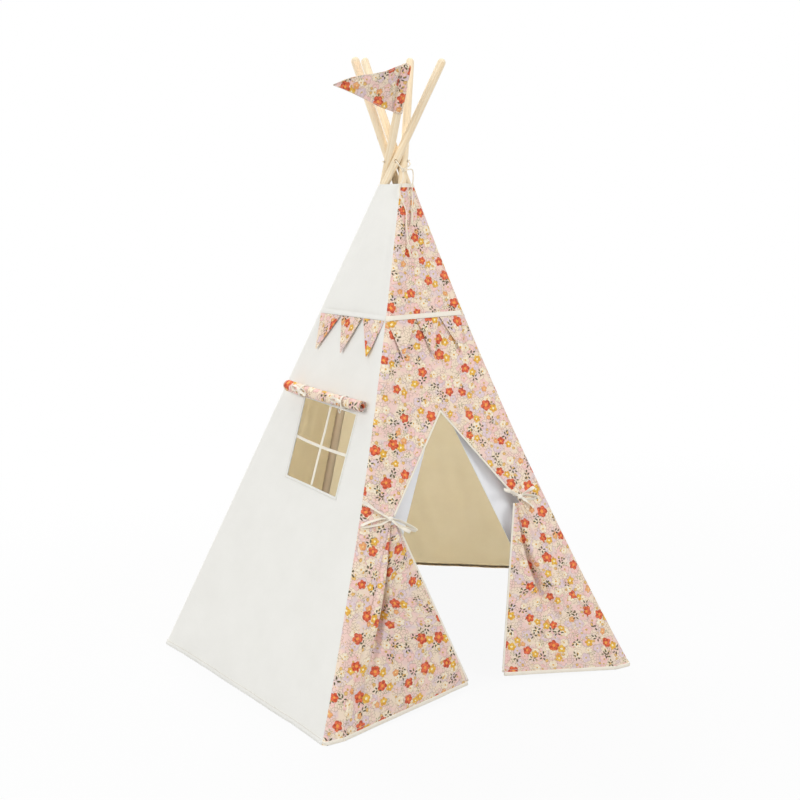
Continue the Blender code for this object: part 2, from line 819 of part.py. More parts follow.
def make_bow(name, centre, facing, ends, finish):
    """A knot with its loops and tails. Each end is (kind, vector from the knot, half height)."""
    up = (UP - facing * UP.dot(facing)).normalized()
    across = up.cross(facing)
    size = BOW_KNOT
    knot = pad(name, centre, (across, up, facing), (size, size * 0.9, BOW_LIFT * 1.7), finish)
    for n, (kind, reach, rise) in enumerate(ends):
        side = facing.cross(reach.normalized())
        tilt = (facing * 0.8 + side * 0.6).normalized()
        if kind == "loop":
            route = loop_route(centre, reach, rise, side)
            sides = tilt
        else:
            route = [centre + reach * (step / 5) + side * rise * math.sin(step / 5 * math.pi) for step in range(6)]
            sides = side
        part = band(f"{name}_end_{n}", route, sides, RIBBON_WIDTH * 0.75, RIBBON_THICKNESS, None, cutters)
        boolean(knot, as_cutter(part), "UNION")
    return knot


def make_door_tie(front, side, finish):
    """The bow that holds one flap back to its pole."""
    name = "left" if side < 0 else "right"
    facing = front.normal(TIE_HEIGHT)
    up = (UP - facing * UP.dot(facing)).normalized()
    outer = facing.cross(up) if side * facing.cross(up).x > 0 else up.cross(facing)
    lift = CLOTH / 2 + TRIM_GAP + BOW_LIFT * DOOR_BOW_SEAT_SHARE
    centre = front.at_x(side * (TIE_REACH + BOW_KNOT * 0.7), TIE_HEIGHT - BOW_KNOT * 0.3, lift)
    if side < 0:
        ends = [
            ("strand", outer * 0.068 + up * 0.052, 0.001),
            ("loop", outer * 0.080 - up * 0.006, 0.0065),
            ("loop", outer * -0.066 - up * 0.040, 0.0055),
            ("strand", outer * -0.046 - up * 0.042, -0.003),
        ]
    else:
        ends = [
            ("strand", outer * 0.048 + up * 0.020, 0.001),
            ("loop", outer * 0.052 - up * 0.010, 0.0060),
            ("strand", outer * 0.034 - up * 0.036, 0.003),
            ("strand", outer * -0.046 + up * 0.026, -0.002),
        ]
    return make_bow("door_tie_" + name, centre, facing, ends, finish)


def make_blind_tie(wall, index, along, finish):
    """A ribbon round the rolled blind, tied in a small bow on its face."""
    name = ("left", "right")[index]
    centre = blind_axis(wall, along)
    normal = wall.normal(BLIND_HEIGHT)
    across = (blind_axis(wall, along + BLIND_RADIUS) - blind_axis(wall, along - BLIND_RADIUS)).normalized()
    upward = normal.cross(across)
    upward = upward if upward.z > 0 else -upward
    radius = BLIND_RADIUS + GAP + RIBBON_THICKNESS / 2
    count = 18
    sweep = 2 * math.pi * 0.76
    route = []
    for n in range(count + 1):
        angle = sweep * (n / count - 0.5)
        route.append(centre + (normal * math.cos(angle) + upward * math.sin(angle)) * radius)
    ring = band(f"blind_ring_{name}", route, across, RIBBON_WIDTH * 0.8, RIBBON_THICKNESS, None, cutters)
    face = centre + normal * (radius + BOW_LIFT * 0.6) + upward * -0.002
    ends = [
        ("loop", across * 0.026 + upward * -0.006, 0.0045),
        ("loop", across * -0.026 + upward * -0.004, 0.0045),
        ("strand", across * 0.012 + upward * -0.026, 0.002),
    ]
    bow = make_bow("blind_tie_" + name, face, normal, ends, finish)
    boolean(bow, as_cutter(ring), "UNION")
    return bow


# Bunting


def bunting_place(wall, share, height, along=0.0):
    """A point of the bunting at this share of the wall's width, and this far beside it.

    The bunting on the left wall hangs a little higher at its outer end.
    """
    out = CLOTH / 2 + TRIM_GAP + BUNTING_CLOTH / 2
    share += along / wall.width(height)
    rise = BUNTING_LEFT_RISE * (1 - share) if wall.name == "wall_left" else 0.0
    return wall.point(share, height + rise, out)


def make_bunting(wall, name, tape, cloth):
    """A cream band across the wall and the pennants that hang from it."""
    low = BUNTING_HEIGHT - BUNTING_BAND

    def tape_place(u, v):
        return bunting_place(wall, u, low + BUNTING_BAND * v)

    made = [sheet("bunting_band_" + name, 6, 1, tape_place, BUNTING_CLOTH, tape)]
    top = low - LIFT_GAP
    each = wall.width(top) / PENNANTS
    for n in range(PENNANTS):
        share = (n + 0.5) / PENNANTS

        def place(u, v, share=share):
            half = PENNANT_TIP / 2 + (each / 2 - PENNANT_INSET / 2 - PENNANT_TIP / 2) * v
            return bunting_place(wall, share, top - PENNANT_DROP * (1 - v), (u - 0.5) * 2 * half)

        made.append(sheet(f"pennant_{name}_{n + 1}", 2, 3, place, BUNTING_CLOTH, cloth))
    return made


def pennant_hinge(wall, number):
    """The middle and the direction of the seam that a pennant lifts about."""
    top = BUNTING_HEIGHT - BUNTING_BAND - LIFT_GAP
    share = (number + 0.5) / PENNANTS
    half = 1 / PENNANTS / 2
    axis = (bunting_place(wall, share + half, top) - bunting_place(wall, share - half, top)).normalized()
    return bunting_place(wall, share, top), axis


# Flag


def make_flag(pole, finish):
    """A pointed flag on a sleeve that slips over the back pole's tip."""
    high = POLE_LENGTH - FLAG_BELOW_TIP
    low = high - FLAG_HOIST
    radius = POLE_DIAMETER / 2 + SLEEVE_CLEARANCE
    sleeve = tube("flag", [pole.along(low), pole.along(high)], radius, finish, POLE_SIDES_RESOLUTION, caps=False)
    solidify(sleeve, FLAG_CLOTH, 1.0)
    away = Vector((-1.0, 0, 0))
    away = (away - pole.rise * away.dot(pole.rise)).normalized()
    face = away.cross(pole.rise).normalized()
    face = face if face.y < 0 else -face
    start = radius + FLAG_CLOTH / 2

    def place(u, v):
        half = (1 - u) * FLAG_HOIST / 2 + u * PENNANT_TIP / 2
        middle = (low + high) / 2 + FLAG_HOIST * FLAG_LIFT_SHARE * u
        wave = FLAG_WAVE * math.sin(u * 2 * math.pi) * min(1.0, u / 0.15)
        return pole.along(middle + (v - 0.5) * 2 * half) + away * (start + (FLAG_FLY - start) * u) + face * wave

    sail = sheet("flag_sail", 12, 4, place, FLAG_CLOTH, None, cutters)
    boolean(sleeve, as_cutter(sail), "UNION")
    return sleeve


# Lace through the poles, with its knot and tails


def lace_route(crossing, offset, poles):
    """From the knot in through the left pole, round through every hole, and out at the front to the knot.

    Every hole's axis meets the others in the middle of the crossing.
    """
    inside = offset - POLE_DIAMETER / 2 - CORD_DIAMETER
    mouth = offset + POLE_DIAMETER / 2 + CORD_DIAMETER
    names = ["front_left", "front_right", "right", "back", "left"]
    ways = [poles[name].tangent for name in names]
    swing = mouth + CORD_DIAMETER * LACE_SWING_SHARE
    lift = UP * (CORD_DIAMETER / 2 + GAP)

    def straight_through(n, distances, shift):
        return [crossing + ways[n] * distance + shift for distance in distances]

    def round_outside(n, m, shift):
        """Round the corner between two holes, clear of both poles."""
        turns = [ways[n].lerp(ways[m], share).normalized() for share in (0.25, 0.5, 0.75)]
        reaches = [swing / turn.dot(ways[n if turn.dot(ways[n]) > turn.dot(ways[m]) else m]) for turn in turns]
        return [crossing + turn * reach + shift for turn, reach in zip(turns, reaches)]

    inwards = (mouth, offset, inside)
    outwards = (inside, offset, mouth)
    route = straight_through(4, inwards, UP * 0) + straight_through(0, outwards, lift)
    route += round_outside(0, 1, lift)
    route += straight_through(1, inwards, UP * 0) + straight_through(2, outwards, UP * 0)
    route += round_outside(2, 3, UP * 0)
    route += straight_through(3, inwards, UP * 0) + straight_through(0, outwards, -lift)
    return route


def make_lace(crossing, offset, poles, finish):
    """The cord through the poles, with the knot that it is tied in at the front."""
    knot = crossing + Vector(KNOT_SHIFT)
    before = [knot, *(crossing + Vector(point) for point in KNOT_TO_LEFT)]
    after = [*(crossing + Vector(point) for point in RIGHT_TO_KNOT), knot]
    route = [*before, *lace_route(crossing, offset, poles), *after]
    lace = tube("lace", smooth_route(route, 3), CORD_DIAMETER / 2, finish, 1)
    size = LACE_KNOT
    lump = pad("lace_knot", knot, IDENTITY, (size, size * 0.8, size * 0.9), None)
    boolean(lace, join_tool(lump), "UNION")
    return lace


def make_tail(name, crossing, front, upper, lower, finish):
    """A free end of the lace, which hangs over the front and ends in a small knot and a short tassel."""
    lift = CLOTH / 2 + TRIM_GAP + TAIL_KNOT / 2
    route = [crossing + Vector(point) for point in upper]
    route += [front.at_x(x, crossing.z + drop, lift) for x, drop in lower]
    tail = tube(name, smooth_route(route, 4), CORD_DIAMETER / 2, finish, 1)
    knot = route[-2]
    lump = pad(name + "_knot", knot, IDENTITY, (TAIL_KNOT, TAIL_KNOT, TAIL_KNOT_LENGTH), None)
    boolean(tail, join_tool(lump), "UNION")
    return tail


def main():
    clear_scene()
    pine = material("pine", PINE, 0.55)
    white = material("white_cotton", WHITE_COTTON, 0.9)
    beige = material("beige_cotton", BEIGE_COTTON, 0.9)
    floral = material("floral_cotton", FLORAL_COTTON, 0.9)
    tape = material("cream_tape", CREAM_TAPE, 0.85)
    cord = material("cotton_cord", CORD_CREAM, 0.85)

    crossing, offset, poles = standing_poles()
    front = Wall("front_panel", poles["front_left"], poles["front_right"])
    left = Wall("wall_left", poles["left"], poles["front_left"])
    right = Wall("wall_right", poles["front_right"], poles["right"])
    back_left = Wall("wall_back_left", poles["back"], poles["left"])
    back_right = Wall("wall_back_right", poles["right"], poles["back"])

    for pole in poles.values():
        make_pole(pole, pine)
        make_sleeve(pole, beige if pole.name == "back" else white)

    make_front(front, floral)
    left_cloth = make_wall(left, white)
    make_wall(right, white)
    make_wall(back_left, beige)
    make_wall(back_right, beige)
    for wall in (left, right, back_left, back_right):
        make_hem(wall.name.replace("wall", "hem"), wall, tape)
    for side in (-1, 1):
        make_flap(front, side, floral, tape)
        make_slit_binding(front, side, tape)
        make_lining(front, side, white)
        make_door_tie(front, side, tape)

    make_window(left, left_cloth, tape)
    make_blind(left, floral)
    for index, along in enumerate(BLIND_TIES):
        make_blind_tie(left, index, along, tape)
    for wall, name in ((left, "left"), (front, "front"), (right, "right")):
        make_bunting(wall, name, tape, floral)
    make_flag(poles["back"], floral)

    make_lace(crossing, offset, poles, cord)
    make_tail("tail_long", crossing, front, LONG_TAIL_TOP, LONG_TAIL_ON_CLOTH, cord)
    make_tail("tail_short", crossing, front, SHORT_TAIL_TOP, SHORT_TAIL_ON_CLOTH, cord)


main()
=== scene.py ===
"""A children's play teepee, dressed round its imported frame: pine poles, cotton walls, a printed front with a
tied-back door, a window under a rolled blind, bunting, a flag and the lacing cord.

Metres, +Z up. The door faces -Y. Each sub-assembly is a class with a build method, and main() builds them in order.
"""

import json
import logging
import math
from dataclasses import dataclass, field
from enum import Enum
from typing import Callable, Optional, Sequence

import bmesh
import bpy
import numpy as np
from mathutils import Matrix, Vector, noise

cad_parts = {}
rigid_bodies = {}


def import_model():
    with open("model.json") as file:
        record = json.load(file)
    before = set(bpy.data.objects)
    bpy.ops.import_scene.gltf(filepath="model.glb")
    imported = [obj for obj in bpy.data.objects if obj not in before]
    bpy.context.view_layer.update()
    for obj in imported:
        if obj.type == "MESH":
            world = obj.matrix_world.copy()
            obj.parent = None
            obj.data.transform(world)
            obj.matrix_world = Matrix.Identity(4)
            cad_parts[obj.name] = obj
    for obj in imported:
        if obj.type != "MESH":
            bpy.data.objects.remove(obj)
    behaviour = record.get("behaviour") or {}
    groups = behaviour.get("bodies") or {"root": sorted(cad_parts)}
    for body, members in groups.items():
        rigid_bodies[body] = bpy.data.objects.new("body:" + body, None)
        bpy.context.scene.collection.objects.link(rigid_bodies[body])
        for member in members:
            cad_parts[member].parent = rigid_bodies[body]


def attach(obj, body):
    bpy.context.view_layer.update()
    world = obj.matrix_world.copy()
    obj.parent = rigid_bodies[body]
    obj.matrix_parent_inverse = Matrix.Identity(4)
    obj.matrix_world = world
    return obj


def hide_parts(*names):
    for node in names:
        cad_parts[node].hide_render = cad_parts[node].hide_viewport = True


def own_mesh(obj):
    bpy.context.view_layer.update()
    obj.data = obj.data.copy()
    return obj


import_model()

LOG = logging.getLogger("teepee")
UP = Vector((0.0, 0.0, 1.0))
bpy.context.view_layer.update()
UV_NAME = "cloth"
PUCKER = 0.0003
ARC_STEPS = 5
FOLDED_TILT = math.radians(8.0)

Object = bpy.types.Object
Material = bpy.types.Material
Socket = bpy.types.NodeSocket
Colour = tuple[float, float, float, float]
Route = Sequence[Vector]
Place = Callable[[float, float], Vector]
Flat = Callable[[float, float], tuple[float, float]]


class Side(Enum):
    """The two halves of the door."""

    LEFT = -1
    RIGHT = 1

    @property
    def word(self) -> str:
        """The name that pieces on this side carry."""
        return self.name.lower()


class Slot(Enum):
    """The material slots of the record."""

    PINE = "pine"
    WHITE = "white_cotton"
    BEIGE = "beige_cotton"
    PRINT = "floral_cotton"
    TAPE = "cream_tape"
    CORD = "cord"


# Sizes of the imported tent, which the cloth is cut to


@dataclass(frozen=True)
class Sizes:
    """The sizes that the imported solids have, in metres."""

    pole_length: float = 1.80
    pole_diameter: float = 0.022
    crossing_height: float = 1.352
    door_base: float = 0.870
    wall_base: float = 0.761
    widest: float = 1.230
    door_to_crossing: float = 0.459
    front_left_bow: float = 0.022
    front_right_bow: float = 0.034
    lace_hole: float = 0.009
    cloth: float = 0.0015
    cloth_offset: float = 0.01435
    cloth_top: float = 1.292
    sleeve_top: float = 1.242
    sleeve_inner: float = 0.0118
    sleeve_outer: float = 0.0130
    hem_height: float = 0.010
    apex_height: float = 0.715
    tie_height: float = 0.476
    tie_reach: float = 0.183
    fold_foot_reach: float = 0.400
    pole_gap: float = 0.0003
    trim_gap: float = 0.0005
    flap_top: float = 0.955
    corner_lift: float = 0.015
    corner_setback: float = 0.078
    lining_apex_reach: float = 0.0145
    lining_foot_reach: float = 0.315
    lining_setback: float = 0.095
    front_stretch: float = 1.08
    slit_tape: float = 0.0050
    flap_tape: float = 0.0054
    flap_hem: float = 0.0098
    tape_thickness: float = 0.0030


SIZES = Sizes()


@dataclass
class Pole:
    """One pole: its foot, the point where the lace passes through it, and the axes it folds about."""

    name: str
    foot: Vector
    waist: Vector
    radial: Vector
    tangent: Vector
    bow: Vector = field(default_factory=Vector)

    def __post_init__(self) -> None:
        """Works out the straight line from foot to waist, and the direction square to it and the tangent."""
        self.reach = (self.waist - self.foot).length
        self.rise = (self.waist - self.foot).normalized()
        self.aside = self.rise.cross(self.tangent).normalized()

    def along(self, distance: float) -> Vector:
        """The point of the bowed axis at this distance from the foot."""
        share = distance / self.reach
        return self.foot + self.rise * distance + self.bow * (4 * share * (1 - share))

    def at(self, height: float) -> Vector:
        """The point of the axis at this height."""
        return self.along(height / self.rise.z)

    def heading(self, height: float) -> Vector:
        """The direction of the axis at this height, up the pole."""
        share = height / self.rise.z / self.reach
        return (self.rise + self.bow * (4 * (1 - 2 * share) / self.reach)).normalized()


@dataclass
class Wall:
    """The cloth between two poles, which goes on round each pole to a seam.

    A run is measured along the cloth from the wall's centre line, towards the second pole.
    """

    name: str
    body: str
    first: Pole
    second: Pole
    seams: tuple[float, float] = (0.5, 0.5)
    seed: float = 0.0
    sag: float = 0.004
    crease: float = 0.0022
    before: Optional["Wall"] = None
    after: Optional["Wall"] = None

    def normal(self, height: float) -> Vector:
        """The direction that faces out of the tent at this height."""
        across = self.second.at(height) - self.first.at(height)
        slope = self.first.heading(height) + self.second.heading(height)
        found = across.cross(slope).normalized()
        outwards = self.first.radial + self.second.radial
        return found if found.dot(outwards) > 0 else -found

    def point(self, share: float, height: float, out: float = 0.0) -> Vector:
        """The point this share of the way between the poles at this height.

        Args:
            share: 0 at the first pole and 1 at the second.
            height: The height above the floor.
            out: How far outside the middle of the cloth's thickness.

        Returns:
            The point, on the flat part of the wall.
        """
        lift = self.normal(height) * (SIZES.cloth_offset + out)
        base = height - lift.z
        return self.first.at(base).lerp(self.second.at(base), share) + lift

    def width(self, height: float) -> float:
        """The flat part's width at this height."""
        return (self.point(1, height) - self.point(0, height)).length

    def at(self, run: float, height: float, out: float = 0.0) -> Vector:
        """The point at this run, on the flat part or round a pole."""
        half = self.width(height) / 2
        if abs(run) <= half:
            return self.point(0.5 + run / (2 * half), height, out)
        pole = self.second if run > 0 else self.first
        normal, heading = self.normal(height), pole.heading(height)
        aside = normal.cross(heading).normalized()
        if aside.dot(self.second.at(height) - self.first.at(height)) * run < 0:
            aside = -aside
        angle = (abs(run) - half) / SIZES.cloth_offset
        lift = (normal * math.cos(angle) + aside * math.sin(angle)) * (SIZES.cloth_offset + out)
        return pole.at(height - lift.z) + lift

    def arc(self, end: int, height: float) -> float:
        """How far the cloth goes round the pole at this end (-1 or 1) to its seam, in metres."""
        other = self.after if end > 0 else self.before
        turn = self.normal(height).angle(other.normal(height))
        return SIZES.cloth_offset * turn * self.seams[end > 0]

    def reach(self, end: int, height: float) -> float:
        """The run of the seam at this end."""
        return end * (self.width(height) / 2 + self.arc(end, height))

    def run_at_x(self, x: float, height: float) -> float:
        """The run of the point with this X, on the wall that faces the front."""
        one, two = self.point(0, height).x, self.point(1, height).x
        return ((x - one) / (two - one) - 0.5) * self.width(height)

    def relief(self, run: float, height: float) -> float:
        """How far the cloth stands out of its flat: a slight sag and soft creases between the poles."""
        half = self.width(height) / 2
        inside = 1 - min(1.0, abs(run) / half)
        calm = eased(inside / 0.30)
        size = min(1.0, half / 0.14)
        long_fold = noise.noise(Vector((run * 10.0, height * 1.6, self.seed)))
        short_fold = noise.noise(Vector((run * 26.0 - height * 5.0, height * 3.2, self.seed + 9.0)))
        pull = math.sin((abs(run) - half) * 60.0 + height * 11.0) * 0.3 * (1 - inside) ** 2
        fold = (long_fold + 0.35 * short_fold) * calm + pull * calm
        return -self.sag * calm * size + self.crease * size * fold

    def skin(self, run: float, height: float, out: float = 0.0) -> Vector:
        """The point on the creased cloth."""
        return self.at(run, height, out + self.relief(run, height))


class Tent:
    """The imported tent's plan: five poles and five walls."""

    def __init__(self) -> None:
        """Repeats the frame's geometry from its sizes."""
        s = SIZES
        side = math.sqrt(s.wall_base**2 - (s.widest / 2 - s.door_base / 2) ** 2)
        back = side + math.sqrt(s.wall_base**2 - (s.widest / 2) ** 2)
        front = -back / 2
        feet = {
            "front_left": Vector((-s.door_base / 2, front, 0)),
            "front_right": Vector((s.door_base / 2, front, 0)),
            "right": Vector((s.widest / 2, front + side, 0)),
            "back": Vector((0, front + back, 0)),
            "left": Vector((-s.widest / 2, front + side, 0)),
        }
        self.crossing = Vector((0, front + s.door_to_crossing, s.crossing_height))
        self.offset = self._offset(feet)
        self.poles = {name: self._leaned(name, foot, self.offset) for name, foot in feet.items()}
        self.poles["front_left"].bow = Vector((s.front_left_bow, 0, 0))
        self.poles["front_right"].bow = Vector((-s.front_right_bow, 0, 0))
        p = self.poles
        self.front = Wall(
            "front", "leg_front_left", p["front_left"], p["front_right"], (0.92, 0.85), 3.0, sag=0.003, crease=0.0016
        )
        self.right = Wall("right", "leg_front_right", p["front_right"], p["right"], (0.15, 0.85), 14.0)
        self.back_right = Wall("back_right", "leg_right", p["right"], p["back"], (0.15, 0.5), 25.0, crease=0.0045)
        self.back_left = Wall("back_left", "leg_back", p["back"], p["left"], (0.5, 0.15), 36.0, crease=0.0045)
        self.left = Wall("left", "leg_left", p["left"], p["front_left"], (0.85, 0.08), 47.0)
        self.walls = [self.front, self.right, self.back_right, self.back_left, self.left]
        for one, two in zip(self.walls, self.walls[1:] + self.walls[:1]):
            one.after, two.before = two, one

    def _leaned(self, name: str, foot: Vector, offset: float) -> Pole:
        """A pole from its foot past the crossing, which it passes on one side by the offset."""
        away = foot - self.crossing
        away.z = 0
        turn = math.asin(offset / away.length)
        radial = Matrix.Rotation(-turn, 3, "Z") @ away.normalized()
        tangent = UP.cross(radial)
        return Pole(name, foot, self.crossing + tangent * offset, radial, tangent)

    def _offset(self, feet: dict[str, Vector]) -> float:
        """How far each axis passes from the middle, so that neighbouring poles just clear each other."""
        offset = SIZES.pole_diameter
        for _ in range(3):
            poles = [self._leaned(name, foot, offset) for name, foot in feet.items()]
            least = min(
                abs((one.waist - two.waist).dot(one.rise.cross(two.rise).normalized()))
                for one, two in zip(poles, poles[1:] + poles[:1])
            )
            offset *= (SIZES.pole_diameter + SIZES.pole_gap) / least
        return offset


# Small mesh tools


def linked(name: str, mesh: bpy.types.Mesh) -> Object:
    """Links a mesh as a new object at the origin."""
    obj = bpy.data.objects.new(name, mesh)
    bpy.context.scene.collection.objects.link(obj)
    return obj


def frozen(obj: Object) -> Object:
    """Turns the object's modifiers into its plain mesh."""
    bpy.context.view_layer.update()
    graph = bpy.context.evaluated_depsgraph_get()
    mesh = bpy.data.meshes.new_from_object(obj.evaluated_get(graph))
    obj.modifiers.clear()
    old, obj.data = obj.data, mesh
    bpy.data.meshes.remove(old)
    return obj


def thickened(obj: Object, thickness: float) -> Object:
    """Gives an open sheet its thickness, half to each side, and softens its rim."""
    made = obj.modifiers.new("thickness", "SOLIDIFY")
    made.thickness = thickness
    made.offset = 0.0
    made.use_even_offset = True
    frozen(obj)
    obj.data.shade_smooth()
    obj.data.set_sharp_from_angle(angle=math.radians(60))
    return obj


def steps(low: float, high: float, count: int) -> list[float]:
    """Even steps from low to high, both ends counted."""
    return [low + (high - low) * n / count for n in range(count + 1)]


def eased(value: float) -> float:
    """A smooth step from 0 to 1."""
    value = min(1.0, max(0.0, value))
    return value * value * (3 - 2 * value)


def smooth_route(points: Route, count: int) -> list[Vector]:
    """Points of a smooth curve through the given points, count to each span."""
    ends = [points[0] * 2 - points[1], *points, points[-1] * 2 - points[-2]]
    route = []
    for a, b, c, d in zip(ends, ends[1:], ends[2:], ends[3:]):
        for step in range(count):
            t = step / count
            route.append(
                (b * 2 + (c - a) * t + (a * 2 - b * 5 + c * 4 - d) * t**2 + (b * 3 - a - c * 3 + d) * t**3) / 2
            )
    route.append(points[-1].copy())
    return route


def even_route(route: Route, step: float) -> list[Vector]:
    """The same line with its points evenly spaced."""
    line = np.array([tuple(p) for p in route])
    lengths = np.concatenate([[0.0], np.cumsum(np.linalg.norm(np.diff(line, axis=0), axis=1))])
    count = max(4, int(round(lengths[-1] / step)))
    spots = np.linspace(0, lengths[-1], count + 1)
    return [Vector([np.interp(s, lengths, line[:, k]) for k in range(3)]) for s in spots]


def distances(route: Route) -> list[float]:
    """How far along a line each of its points lies."""
    gone = [0.0]
    for before, point in zip(route, route[1:]):
        gone.append(gone[-1] + (point - before).length)
    return gone


def headings(route: Route) -> list[Vector]:
    """The direction of a line at each of its points."""
    last = len(route) - 1
    return [(route[min(n + 1, last)] - route[max(n - 1, 0)]).normalized() for n in range(last + 1)]


def hoop(centre: Vector, one: Vector, two: Vector, sizes: Sequence[float]) -> list[Vector]:
    """A closed ring of points in the plane of two directions, with a radius for each point."""
    ring = []
    for k, size in enumerate(sizes):
        angle = 2 * math.pi * k / len(sizes)
        ring.append(centre + (one * math.cos(angle) + two * math.sin(angle)) * size)
    return ring


def pucker(angle: float, twist: float, station: float) -> float:
    """How far a gathered tube of cloth stands out at this angle and station."""
    return PUCKER * noise.noise(Vector((math.cos(angle) * twist, math.sin(angle) * twist, station)))


def linked_bm(name: str, bm: bmesh.types.BMesh) -> Object:
    """Ends a mesh that was being built, and links it as a new object."""
    mesh = bpy.data.meshes.new(name)
    bm.to_mesh(mesh)
    bm.free()
    return linked(name, mesh)


def skinned(bm: bmesh.types.BMesh, layer: object, rows: list, flats: list, closed: bool) -> None:
    """Joins rows of vertices with smooth faces.

    Args:
        bm: The mesh.
        layer: Its UV layer.
        rows: The vertices of each row, the same number in each.
        flats: The cloth's own coordinates of each row.
        closed: Whether each row is a ring. Its coordinates are then one more than its vertices.
    """
    for low, high, under, over in zip(rows, rows[1:], flats, flats[1:]):
        for i in range(len(low) if closed else len(low) - 1):
            after = (i + 1) % len(low)
            face = bm.faces.new((low[i], low[after], high[after], high[i]))
            face.smooth = True
            for loop, spot in zip(face.loops, (under[i], under[i + 1], over[i + 1], over[i])):
                loop[layer].uv = spot


class Mesher:
    """Collects shells in one mesh, with the cloth's own coordinates in metres as its UV map."""

    def __init__(self) -> None:
        """Starts an empty mesh."""
        self.bm = bmesh.new()
        self.uv = self.bm.loops.layers.uv.new(UV_NAME)

    def rings(self, rings: list[list[Vector]], flats: list[list[tuple[float, float]]], capped: bool = True) -> None:
        """Joins closed rings of points into a shell.

        Args:
            rings: The points of each ring, the same number in each.
            flats: The UV coordinates of each ring, one more than its points.
            capped: Whether the first and last ring are closed with a face. If not, the last joins the first.
        """
        rows = [[self.bm.verts.new(point) for point in ring] for ring in rings]
        if not capped:
            rows, flats = rows + rows[:1], flats + flats[:1]
        skinned(self.bm, self.uv, rows, flats, closed=True)
        if capped:
            for ring, flat, turn in ((rows[0], flats[0], -1), (rows[-1], flats[-1], 1)):
                for loop in self.bm.faces.new(ring[::turn]).loops:
                    loop[self.uv].uv = flat[0]

    def tube(self, route: Route, radius: Callable[[float, float, float], float], sides: int) -> None:
        """Adds a closed tube along a route.

        Args:
            route: The centre line.
            radius: The radius for an angle, a distance along and a share of the length.
            sides: Points round the tube.
        """
        aims, gone = headings(route), distances(route)
        side = UP - aims[0] * UP.dot(aims[0])
        side = side.normalized() if side.length > 1e-4 else aims[0].orthogonal().normalized()
        rings, flats = [], []
        for point, heading, distance in zip(route, aims, gone):
            side = (side - heading * side.dot(heading)).normalized()
            sizes = [radius(2 * math.pi * k / sides, distance, distance / gone[-1]) for k in range(sides)]
            rings.append(hoop(point, side, heading.cross(side), sizes))
            flats.append([(k / sides * 0.02, distance) for k in range(sides + 1)])
        self.rings(rings, flats)

    def ribbon(
        self, route: Route, sides: Route | Vector, width: Callable[[float], float] | float, thickness: float
    ) -> None:
        """Adds a flat band with rounded edges along a route.

        Args:
            route: The centre line.
            sides: The direction of the width, once or at each point.
            width: The width, or the width for a share of the length.
            thickness: The thickness in the middle.
        """
        gone, rings, flats, points = distances(route), [], [], 12
        for n, (point, heading, distance) in enumerate(zip(route, headings(route), gone)):
            side = sides[n] if isinstance(sides, list) else sides
            side = (side - heading * side.dot(heading)).normalized()
            face = heading.cross(side).normalized()
            half = (width(distance / gone[-1]) if callable(width) else width) / 2
            ring, flat = [], []
            for k in range(points + 1):
                angle = 2 * math.pi * k / points
                x, y = math.cos(angle), math.sin(angle)
                x = math.copysign(abs(x) ** 0.35, x) * half
                y = math.copysign(abs(y) ** 0.6, y) * thickness / 2
                ring.append(point + side * x + face * y)
                flat.append((x, distance))
            rings.append(ring[:points])
            flats.append(flat)
        self.rings(rings, flats)

    def lump(self, centre: Vector, axes: tuple[Vector, Vector, Vector], sizes: tuple[float, float, float]) -> None:
        """Adds a rounded lump with two soft furrows, as where a ribbon wraps round its own knot."""
        rows, around = 12, 20
        rings, flats = [], []
        for j in range(1, rows):
            polar = math.pi * j / rows
            x = math.copysign(abs(math.cos(polar)) ** 0.7, math.cos(polar)) * sizes[0] / 2
            ring, flat = [], []
            for k in range(around + 1):
                angle = 2 * math.pi * k / around
                wide = math.sin(polar) ** 0.6 * (1 - 0.07 * math.cos(6 * polar + angle)) / 2
                y, z = math.cos(angle) * sizes[1] * wide, math.sin(angle) * sizes[2] * wide
                ring.append(centre + axes[0] * -x + axes[1] * y + axes[2] * z)
                flat.append((angle * sizes[1] / 2, -x))
            rings.append(ring[:around])
            flats.append(flat)
        self.rings(rings, flats)

    def object(self, name: str) -> Object:
        """Ends the mesh and links it under this name."""
        bmesh.ops.recalc_face_normals(self.bm, faces=self.bm.faces)
        return linked_bm(name, self.bm)


def ribbon(name: str, route: Route, sides: Route | Vector, width: float, thickness: float) -> Object:
    """A flat band with rounded edges, as a piece of its own."""
    mesher = Mesher()
    mesher.ribbon(route, sides, width, thickness)
    return mesher.object(name)


def sheet_on(name: str, us: Sequence[float], vs: Sequence[float], place: Place, flat: Flat) -> Object:
    """An open sheet on a grid of stations.

    Args:
        name: The piece's name.
        us: The stations across, from left to right as seen from outside.
        vs: The stations upwards.
        place: The point for a station pair.
        flat: The cloth's own coordinates for a station pair, in metres.

    Returns:
        The sheet, facing outwards.
    """
    bm = bmesh.new()
    layer = bm.loops.layers.uv.new(UV_NAME)
    rows = [[bm.verts.new(place(u, v)) for u in us] for v in vs]
    skinned(bm, layer, rows, [[flat(u, v) for u in us] for v in vs], closed=False)
    return linked_bm(name, bm)


def join_into(kept: Object, other: Object) -> None:
    """Adds another object's mesh to the first one."""
    bm = bmesh.new()
    bm.from_mesh(kept.data)
    bm.from_mesh(other.data)
    bm.to_mesh(kept.data)
    bm.free()
    bpy.data.objects.remove(other, do_unlink=True)


def cloth_area(obj: Object) -> float:
    """The area of one face of a thickened cloth."""
    return sum(face.area for face in obj.data.polygons) / 2


# Finishes


def srgb(red: float, green: float, blue: float) -> Colour:
    """A colour given in screen values from 0 to 255, as linear light."""
    made = []
    for value in (red, green, blue):
        value /= 255
        made.append(value / 12.92 if value <= 0.04045 else ((value + 0.055) / 1.055) ** 2.4)
    return (*made, 1.0)


